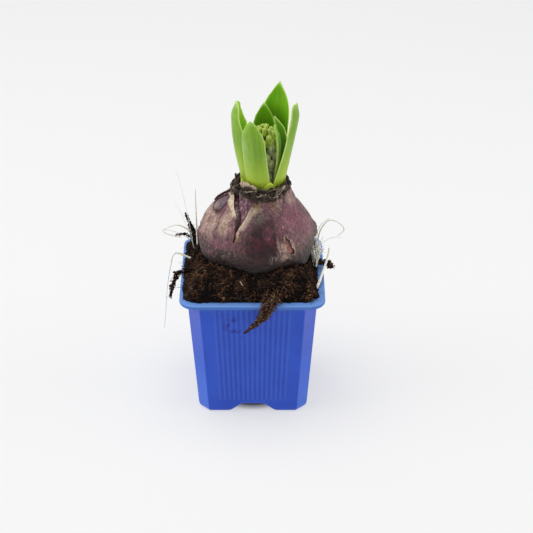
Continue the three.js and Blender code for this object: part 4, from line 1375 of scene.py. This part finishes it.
# %% [markdown]
# ## The peat
# Milled sphagnum peat is crumbs and fibres of half-rotted moss: near black when moist, rusty
# where it dries. The heap is a grid squeezed into the pot's square, raised to the heap's height
# and roughened by lumps, clumps and grains, from five millimetres down to half a millimetre.
# Where the bulb sits in it, the surface dips under the bulb's belly instead of cutting through
# it. A mark paints shade on what lies deep: between clumps, against the bulb and along the border.

# %% Heap height
def lattice(i, j, seed):
    """A repeatable value from 0 to 1 for a lattice point."""
    s = math.sin(i * 127.1 + j * 311.7 + seed * 74.7) * 43758.5453
    return s - math.floor(s)


def lumps(x, y, seed):
    """Smooth noise on a unit lattice, from -1 to 1."""
    i, j = math.floor(x), math.floor(y)
    u, v = soft_step(x - i), soft_step(y - j)
    low = mix(lattice(i, j, seed), lattice(i + 1, j, seed), u)
    high = mix(lattice(i, j + 1, seed), lattice(i + 1, j + 1, seed), u)
    return 2 * mix(low, high, v) - 1


def heap_height(x, y):
    """The heap: low along the rim, steep up to the bulb, highest in front of it, lumpy all over."""
    from_edge = 33 - max(abs(x), abs(y))
    heap = mix(9.6, 13, soft_step((-y - 6) / 14))
    left_back = 1.6 * soft_step((-x - 10) / 20) * soft_step((y + 5) / 20)
    coarse = lumps(x / 5.2 + 9, y / 5.2 + 4, 1) + 0.6 * lumps(x / 2.6, y / 2.6, 2)
    return 65.4 + heap * soft_step(from_edge / 9) + left_back + 1.2 * coarse


def bulb_underside(x, y):
    """The height of the bulb's lower side over a point, or None outside the bulb."""
    reach = math.hypot(x - BULB_X, y - BULB_Y) + 0.4
    if reach > 28.3:
        return None
    lower = [(r, z) for z, r in BULB_PROFILE[:6]]
    return 59.0 if reach < 9 else through(lower, reach)


CLUMP, SMALL_CLUMP = 5.2, 2.3


def cell_distance(x, y, z, size):
    """How far, in cells, the nearest clump's middle is."""
    return noise.voronoi(Vector((x, y, z)) / size)[0][0]


def peat_height(x, y):
    """The heap with its clumps and grains, dipping under the bulb."""
    z = heap_height(x, y)
    small = 1.4 * (0.5 - cell_distance(x, y, z, SMALL_CLUMP))
    z += 3.4 * (0.5 - cell_distance(x, y, 0.3 * z, CLUMP)) + small
    z += 0.6 * rough(x, y, 0, 1.3) + 0.4 * rough(x, y, 5, 0.6)
    if max(abs(x), abs(y)) > 29.0 or abs(x) + abs(y) > 53.2:
        z = max(z, RIM_TOP + 0.6 + 0.8 * rough(x, y, 8, 2))
    under = bulb_underside(x, y)
    return z if under is None else min(z, under - 0.15)


# %% [markdown]
# The heap's outline is the pot's cut-cornered square. On the left the peat spills over the lip,
# on the right it just reaches it, and in front it stays inside. At the border the surface turns
# down into the pot and is closed from below, so the heap is a solid body.

# %% Heap surface
def square_reach(x, y, flat, corner):
    """How far a cut-cornered square reaches in a direction."""
    return min(flat / max(abs(x), abs(y), 1e-9), corner / max(abs(x) + abs(y), 1e-9))


def spill(x, y):
    """How far the heap spills in a direction: over the lip on the left, less in front."""
    side = 31.2 + 2.7 * soft_step(-x * 3 - 1.6) + 0.7 * soft_step(x * 3 - 1.6)
    ragged_edge = side + 0.9 * rough(x * 9, y * 9, 3) + 0.6 * rough(x * 30, y * 30, 3)
    return square_reach(x, y, ragged_edge, ragged_edge * 2 - 5.2)


def place_peat(u, v):
    """Squeezes the square grid into the heap's outline and raises it."""
    a, b = 2 * u - 1, 2 * v - 1
    length = math.hypot(a, b)
    if length < 1e-9:
        return Vector((0, 0, peat_height(0, 0))), 0.4
    to_square = max(abs(a), abs(b))
    scale = spill(a / length, b / length) * to_square / length
    x, y = a * scale, b * scale
    z = mix(peat_height(x, y), RIM_TOP + 0.12, soft_step((to_square - 0.97) / 0.03))
    # Painted shade: the mark darkens the hollows between clumps, the peat against the bulb and the border.
    crevice_shade = 0.62 * cell_distance(x, y, 0.3 * z, CLUMP) + 0.38 * cell_distance(x, y, z, SMALL_CLUMP)
    gap = math.hypot(x - BULB_X, y - BULB_Y) - through(BULB_PROFILE, z)
    crevice_shade += 0.3 * bump_at(max(0, gap), 3.5) + 0.25 * soft_step((to_square - 0.9) / 0.06)
    return Vector((x, y, z)), crevice_shade


PEAT_HALF, PEAT_CUT = 29.2, 4.6  # the peat inside the pot
peat_bm = bent_grid(190, 190, place_peat, ("deep",))
for height in (66.05, 57.5):  # in under the lip's level, then down inside the pot
    border = [edge for edge in peat_bm.edges if edge.is_boundary]
    grown = bmesh.ops.extrude_edge_only(peat_bm, edges=border)
    for vertex in [v for v in grown["geom"] if isinstance(v, bmesh.types.BMVert)]:
        x, y = vertex.co.x, vertex.co.y
        length = math.hypot(x, y)
        share = square_reach(x / length, y / length, PEAT_HALF, PEAT_HALF * 2 - PEAT_CUT) / length
        vertex.co = Vector((x * share, y * share, height))
seal(peat_bm)
print("heap:", len(peat_bm.faces), "faces")


# %% [markdown]
# Moist peat drinks light. Its colour is a very dark brown broken by rusty and golden bits, and it
# has next to no gloss. The heap's browns follow the mark of painted shade, darkest in the hollows.
# Loose fibres and crumbs share one material whose tone mark says how dry, and so how golden, each
# of them is.

# %% Peat materials
def peat_material(name, mark_name, low, high, colours):
    """Milled peat: decayed moss, matt, IOR 1.4; a mark sets its colour from wet to dry, and on the heap
    that mark is painted shade.
    """
    made, tree, where = new_material(name)
    grain = noise_at(tree, where, 1.3, 5.0, Roughness=0.7)
    # On the heap the mark is painted shade, so its hollows come out darkest; on the loose bits it says how
    # dry they are.
    dry_and_lit = fade(tree, mark(tree, mark_name), low, high)
    uneven = calc(tree, calc(tree, grain, "SUBTRACT", 0.5), "MULTIPLY", 0.9)
    colour = ramp(tree, calc(tree, dry_and_lit, "ADD", uneven, clamp=True), *colours)
    lumpy = relief(tree, grain, 0.8, 0.5)
    surface(tree, colour, 0.88, 1.4, lumpy, more={"Specular IOR Level": 0.25})
    return made


HEAP_BROWNS = [(0.2, "#0C0706"), (0.9, "#6E4C36"), (0.58, "#3E281E")]
BIT_BROWNS = [(0.2, "#120A08"), (1.0, "#E6DFCE"), (0.55, "#4C3122"), (0.9, "#927250")]
peat_dark = peat_material("moist_peat", "deep", 0.62, 0.14, HEAP_BROWNS)
peat_bits = peat_material("peat_fibre", "tone", 0.0, 1.0, BIT_BROWNS)
settle(peat_bm, "peat_heap", peat_dark, ["peat"])

# %% [markdown]
# What makes peat read as peat is the loose stuff on it. A fibre is a thin three-sided rod, cut
# into six lengths so that it can bend; a crumb is a small ball with its corners pushed about.
# Thousands are strewn over the heap by a seeded generator, lying along the surface and sticking
# up a little. Real fibres are a tenth of a millimetre thick, which would vanish here, so they are
# drawn two to three times as thick. Two pale bits, a sliver in front and a crumb at the left
# corner, are given one by one.

# %% Fibre and crumb templates
def fibre_template():
    """A unit rod from 0 to 1 in height, three-sided, in six lengths, tapering."""
    bm = bmesh.new()
    bmesh.ops.create_cone(bm, segments=3, radius1=1, radius2=0.4, depth=1, cap_ends=True)
    bmesh.ops.translate(bm, vec=(0, 0, 0.5), verts=bm.verts)
    for cut in range(1, 6):
        parts = bm.verts[:] + bm.edges[:] + bm.faces[:]
        bmesh.ops.bisect_plane(bm, geom=parts, plane_co=(0, 0, cut / 6), plane_no=(0, 0, 1))
    return to_mesh(bm, "one_fibre")


def crumb_template():
    """A knobbly unit ball of twenty faces."""
    bm = bmesh.new()
    bmesh.ops.create_icosphere(bm, subdivisions=1, radius=1)
    for n, vertex in enumerate(bm.verts):
        vertex.co *= 0.75 + 0.5 * lattice(n, 3, 5)
    return to_mesh(bm, "one_crumb")


one_fibre, one_crumb = fibre_template(), crumb_template()


def bent_fibre(start, heading, curve, length, thick, tone):
    """A fibre that leaves start along heading and drifts along curve."""
    aside = heading.orthogonal().normalized()
    up = heading.cross(aside).normalized()

    def move(own):
        t = own.z
        line = start + heading * (length * t) + curve * (length * t * t)
        return line + aside * (own.x * thick) + up * (own.y * thick)

    return move, (tone,)


def crumb(centre, size, spin, tone):
    """A crumb of its own size and turn, a little flattened."""
    turn = Matrix.Rotation(spin, 3, Vector((math.sin(spin * 3), math.cos(spin * 5), 0.4)).normalized())
    return (lambda own: centre + turn @ Vector((own.x, own.y * 0.8, own.z * 0.65)) * size), (tone,)


# %% Loose fibres and crumbs on the heap
def clump_tone(x, y):
    """Some spots of the heap are dry and fibrous, most are moist and dark."""
    return 0.4 + 0.3 * rough(x, y, 2, 7) + 0.16 * rough(x, y, 7, 2.4)


def on_heap(random_source):
    """A random place on the heap outside the bulb."""
    while True:
        x, y = random_source.uniform(-32.6, 31.2), random_source.uniform(-30.8, 31)
        if abs(x) + abs(y) > 59:
            continue
        if random_source.random() > 0.2 + 1.6 * (clump_tone(x, y) - 0.2):
            continue
        z = peat_height(x, y)
        under = bulb_underside(x, y)
        if under is None or z < under - 0.4:
            return Vector((x, y, z))


FIBRES, CRUMBS = 3600, 4600
draw = random.Random(3)
fibres = []
for _ in range(FIBRES):
    spot = on_heap(draw)
    yaw = draw.uniform(0, 2 * math.pi)
    heading = Vector((math.cos(yaw), math.sin(yaw), draw.uniform(-0.1, 0.55))).normalized()
    curve = Vector((draw.gauss(0, 0.5), draw.gauss(0, 0.5), draw.uniform(-0.7, 0.1)))
    tone = min(0.86, clump_tone(spot.x, spot.y) + draw.choice((-0.15, -0.05, 0.05, 0.15, 0.4)))
    length = draw.uniform(1.0, 3.4)
    fibres.append(bent_fibre(spot, heading, curve, length, draw.uniform(0.07, 0.15), tone))
sliver_foot = Vector((-5.8, -28.0, peat_height(-5.8, -28.0) + 1.9))
fibres.append(bent_fibre(sliver_foot, Vector((0.5, -0.3, -0.8)), Vector((0, 0, 0.1)), 2.6, 0.4, 1.4))
settle(strewn(one_fibre, fibres), "peat_fibres", peat_bits)

crumbs = [crumb(Vector((-28.6, -26.8, peat_height(-28.6, -26.8) + 0.3)), 0.7, 4.0, 1.4)]
for _ in range(CRUMBS):
    spot = on_heap(draw)
    size = 0.22 + 1.05 * draw.random() ** 2.4
    tone = clump_tone(spot.x, spot.y) + draw.uniform(-0.35, 0.12)
    crumbs.append(crumb(spot + Vector((0, 0, 0.35 * size)), size, draw.uniform(0, 6), tone))
settle(strewn(one_crumb, crumbs), "peat_crumbs", peat_bits)


# %% [markdown]
# Some peat hangs over the rim or stands up from the heap in felted strands held together by old
# roots. Each strand is a route of a few points with a radius at each: fibres follow it with a
# little disorder, and crumbs cling among them. The one in front is dry and golden, a tongue of
# peat that ends in a thread; the others are mostly dark crumbs.

# %% Strands over the rim
STRANDS = (  # how golden, how many fibres and crumbs, and the route
    (0.68, 1300, 480, [
        (11.4, -22, 70, 6.4), (10.4, -28, 69.4, 6.4), (9.2, -33, 67.8, 6.2), (7.4, -36.2, 65.4, 4.0),
        (5.4, -36.8, 61.8, 2.3), (1.6, -36.8, 57.4, 1.1), (-4.8, -36.2, 51.2, 0.25),
    ]),
    (0.5, 90, 210, [
        (-26, 16, 68, 2.2), (-28.4, 16, 72, 1.9), (-29.8, 16, 79, 1.4), (-31.6, 16, 84, 0.9),
        (-33.4, 16, 90, 0.35),
    ]),
    (0.5, 110, 230, [
        (-27, -2, 67, 2.4), (-32.5, -4, 69.0, 2.1), (-37.4, -6, 66, 1.4), (-39.6, -8, 60.5, 1.0),
        (-40.4, -9, 55, 0.4),
    ]),
    (0.45, 24, 60, [(-30.5, 16, 75.5, 0.9), (-34, 16, 77.4, 1.0), (-38.5, 16, 77, 0.3)]),
    (0.55, 90, 230, [
        (27, 2, 68, 2.6), (32.5, 2, 69.4, 1.5), (36.2, 1.6, 69.0, 2.0), (39.4, 1, 66.8, 0.8),
    ]),
    (0.5, 160, 420, [
        (-9, 24, 67, 3.4), (-10, 29, 69, 2.8), (-11, 33.2, 68.8, 2.1), (-12, 36.4, 66.4, 1.5),
        (-13, 36.9, 61, 1.0), (-14.5, 36.9, 56.5, 0.4),
    ]),
)


# %% [markdown]
# A smooth curve runs through a route's points. Every fibre starts near it and heads the same way,
# a little astray; the crumbs sit closer to the middle where the strand is thick.

# %% Fill the strands
def along_route(route, t):
    """The point and radius a share t along a route of (x, y, z, radius)."""
    t = min(0.9999, max(0.0, t)) * (len(route) - 1)
    i = int(t)
    s = t - i
    a, b, c, d = (Vector(route[min(len(route) - 1, max(0, k))][:3]) for k in (i - 1, i, i + 1, i + 2))
    bend, twist = 2 * a - 5 * b + 4 * c - d, 3 * b - a - 3 * c + d
    return 0.5 * (2 * b + (c - a) * s + bend * s * s + twist * s**3), mix(route[i][3], route[i + 1][3], s)


draw = random.Random(5)


def beside(reach):
    """A draw round a strand's middle, flatter from front to back than across."""
    aside = [min(1.7, max(-1.7, draw.gauss(0, 1))) for _ in range(3)]
    return Vector([a * reach * squash for a, squash in zip(aside, (1, 0.5, 0.8))])


def strand_fibre(route, golden):
    """One fibre that follows a route, shorter where the strand is thin."""
    t = draw.uniform(0, 0.93)
    point, radius = along_route(route, t)
    heading = (along_route(route, t + 0.12)[0] - point).normalized()
    wander = Vector([draw.gauss(0, 0.35) for _ in range(3)])
    start = point + beside(0.42 * radius)
    curve = Vector([draw.gauss(0, 0.3) for _ in range(3)])
    length = draw.uniform(1.0, 3.2) * mix(0.45, 1, min(1, radius / 4))
    tone = min(0.88, golden + draw.uniform(-0.3, 0.3))
    return bent_fibre(start, (heading + wander).normalized(), curve, length, draw.uniform(0.08, 0.18), tone)


def strand_crumb(route, golden):
    """One crumb that clings to a strand."""
    point, radius = along_route(route, draw.uniform(0, 0.97))
    aside = beside(0.4 * radius if radius > 2.6 else 0.6 * radius)
    size = draw.uniform(0.35, 1.0) * min(1, 0.4 + radius / 2.2)
    tone = golden + draw.uniform(-0.45, 0.05)
    return crumb(point + aside, size, draw.uniform(0, 6), tone)


strand_fibres, strand_crumbs = [], []
for golden, fibre_count, crumb_count, route in STRANDS:
    strand_fibres += [strand_fibre(route, golden) for _ in range(fibre_count)]
    strand_crumbs += [strand_crumb(route, golden) for _ in range(crumb_count)]
settle(strewn(one_fibre, strand_fibres), "strand_fibres", peat_bits)
settle(strewn(one_crumb, strand_crumbs), "strand_crumbs", peat_bits)

# %% [markdown]
# ## Stray roots
# A few dry, cream-coloured roots stick out of the peat: an upright one and a loop on the left,
# a thin one that hangs beside the pot, and a thick white one and a curl on the right. Each is a
# circle pulled along a route, thinner towards its tip, with a slight wobble.

# %% Root tubes
def tube(route, sides=8, steps=40):
    """A closed tube along a route: a circle that is extruded from station to station."""
    bm = bmesh.new()
    start, radius = along_route(route, 0)
    turn = (along_route(route, 0.02)[0] - start).to_track_quat("Z", "Y")
    spot = Matrix.Translation(start) @ turn.to_matrix().to_4x4()
    bmesh.ops.create_circle(bm, cap_ends=True, radius=radius, segments=sides, matrix=spot)
    face = bm.faces[:][0]
    for n in range(1, steps + 1):
        face = bmesh.ops.extrude_discrete_faces(bm, faces=[face])["faces"][0]
        t = n / steps
        point, radius = along_route(route, t)
        before, after = along_route(route, t - 0.02)[0], along_route(route, min(1, t + 0.02))[0]
        direction = after - before if (after - before).length > 1e-6 else point - before
        knobs = 1 + 0.18 * rough(point.x, point.y, point.z, 1.6)
        ring = direction.to_track_quat("Z", "Y").to_matrix()
        for k, vertex in enumerate(face.verts):
            a = 2 * math.pi * k / sides
            vertex.co = point + ring @ Vector((math.cos(a), math.sin(a), 0)) * radius * knobs
    face_outwards(bm)
    return bm


# %% [markdown]
# A dried root is shrivelled and cream to white. A little light passes through its thin skin.

# %% Thick roots
def root_material():
    """Dried root: shrivelled, cream, matt skin with browner creases, IOR 1.45."""
    made, tree, where = new_material("dry_root_skin")
    grain = noise_at(tree, where, 1.8)
    colour = ramp(tree, grain, (0.3, "#EEE8CE"), (0.6, "#FFFDF2"))
    surface(tree, colour, 0.65, 1.45, relief(tree, grain, 0.2, 0.2), (0.6, (1.0, 0.9, 0.7), 1.0))
    return made


ROOTS = {
    "root_left_upright": [
        (-27, 13, 68, 0.45), (-27.6, 12, 78, 0.45), (-27.8, 11, 92, 0.36), (-27.9, 10, 106, 0.2),
    ],
    "root_left_loop": [
        (-26.5, 21, 69, 0.45), (-31, 22.5, 75, 0.4), (-38, 22, 79.4, 0.34), (-45.1, 21, 76.5, 0.3),
        (-39.5, 20, 74.2, 0.3), (-36, 20, 73.6, 0.28),
    ],
    "root_left_hanging": [
        (-27, 4.5, 68, 0.5), (-32, 5, 70.6, 0.5), (-38.4, 4.6, 73, 0.4), (-40.6, 2, 67, 0.26),
        (-42.4, 0, 56, 0.2), (-43.4, -2, 44, 0.17), (-44.4, -3, 34.5, 0.15),
    ],
    "root_right_upright": [
        (29.6, -20.5, 65.6, 0.65), (31.4, -18.4, 67.6, 0.75), (33.2, -13, 69.6, 0.72),
        (35.6, -7, 73.6, 0.6), (37, -3.5, 77.4, 0.45), (37.3, -2.5, 80, 0.3),
    ],
    "root_right_curl": [
        (28.6, 10, 67.5, 0.5), (31.6, 11, 74, 0.5), (33.6, 12, 82, 0.4), (37.6, 12, 87.4, 0.34),
        (42.5, 11.6, 86.2, 0.3), (45.1, 11.2, 82.6, 0.28), (42.1, 11, 79.4, 0.25),
    ],
}
root_skin = root_material()
for root_name, route in ROOTS.items():
    settle(tube(route), root_name + "_strand", root_skin, [root_name])

# %% [markdown]
# Between the thick roots are hair roots a few tenths of a millimetre thick: three fine ones on
# the left, two beside the curl on the right, and a white tangle where the bulb nearly meets the
# rim on the right.

# %% Hair roots
HAIR_ROOTS = [
    [(-29.5, 15, 70, 0.16), (-31.4, 14.6, 84, 0.13), (-34.6, 14.4, 103, 0.09), (-37.4, 14, 115, 0.06)],
    [(-29, 14, 70, 0.16), (-32.4, 14, 82, 0.12), (-36, 14, 92, 0.09), (-38.6, 14, 97, 0.06)],
    [(-28, 20, 69, 0.2), (-35, 20.4, 74.6, 0.18), (-41, 20.4, 77, 0.15), (-44.2, 20, 77.6, 0.12)],
    [
        (28.6, 6, 67, 0.26), (31.2, 7, 72, 0.24), (35.2, 8, 77.6, 0.2), (40.6, 8, 80.2, 0.15),
        (44, 8, 79.6, 0.12),
    ],
    [(28.8, 12, 67, 0.24), (30.6, 13, 76, 0.22), (34, 13.6, 84.4, 0.18), (38, 13.6, 87.8, 0.14)],
]
draw = random.Random(19)
for n in range(30):
    x, y = draw.uniform(29.4, 32.0), draw.uniform(0, 16)
    route = [(x, y, 67.8, 0.4)]
    for step in range(1, 5):
        x, y = x + draw.uniform(-0.7, 1.6), y + draw.uniform(-2.2, 2.2)
        route.append((x, y, 67.8 + step * draw.uniform(1.4, 3.2), 0.4 - 0.06 * step))
    HAIR_ROOTS.append(route)
hair_bm = merged(tube(route, sides=5, steps=20) for route in HAIR_ROOTS)
settle(hair_bm, "hair_roots", root_skin)
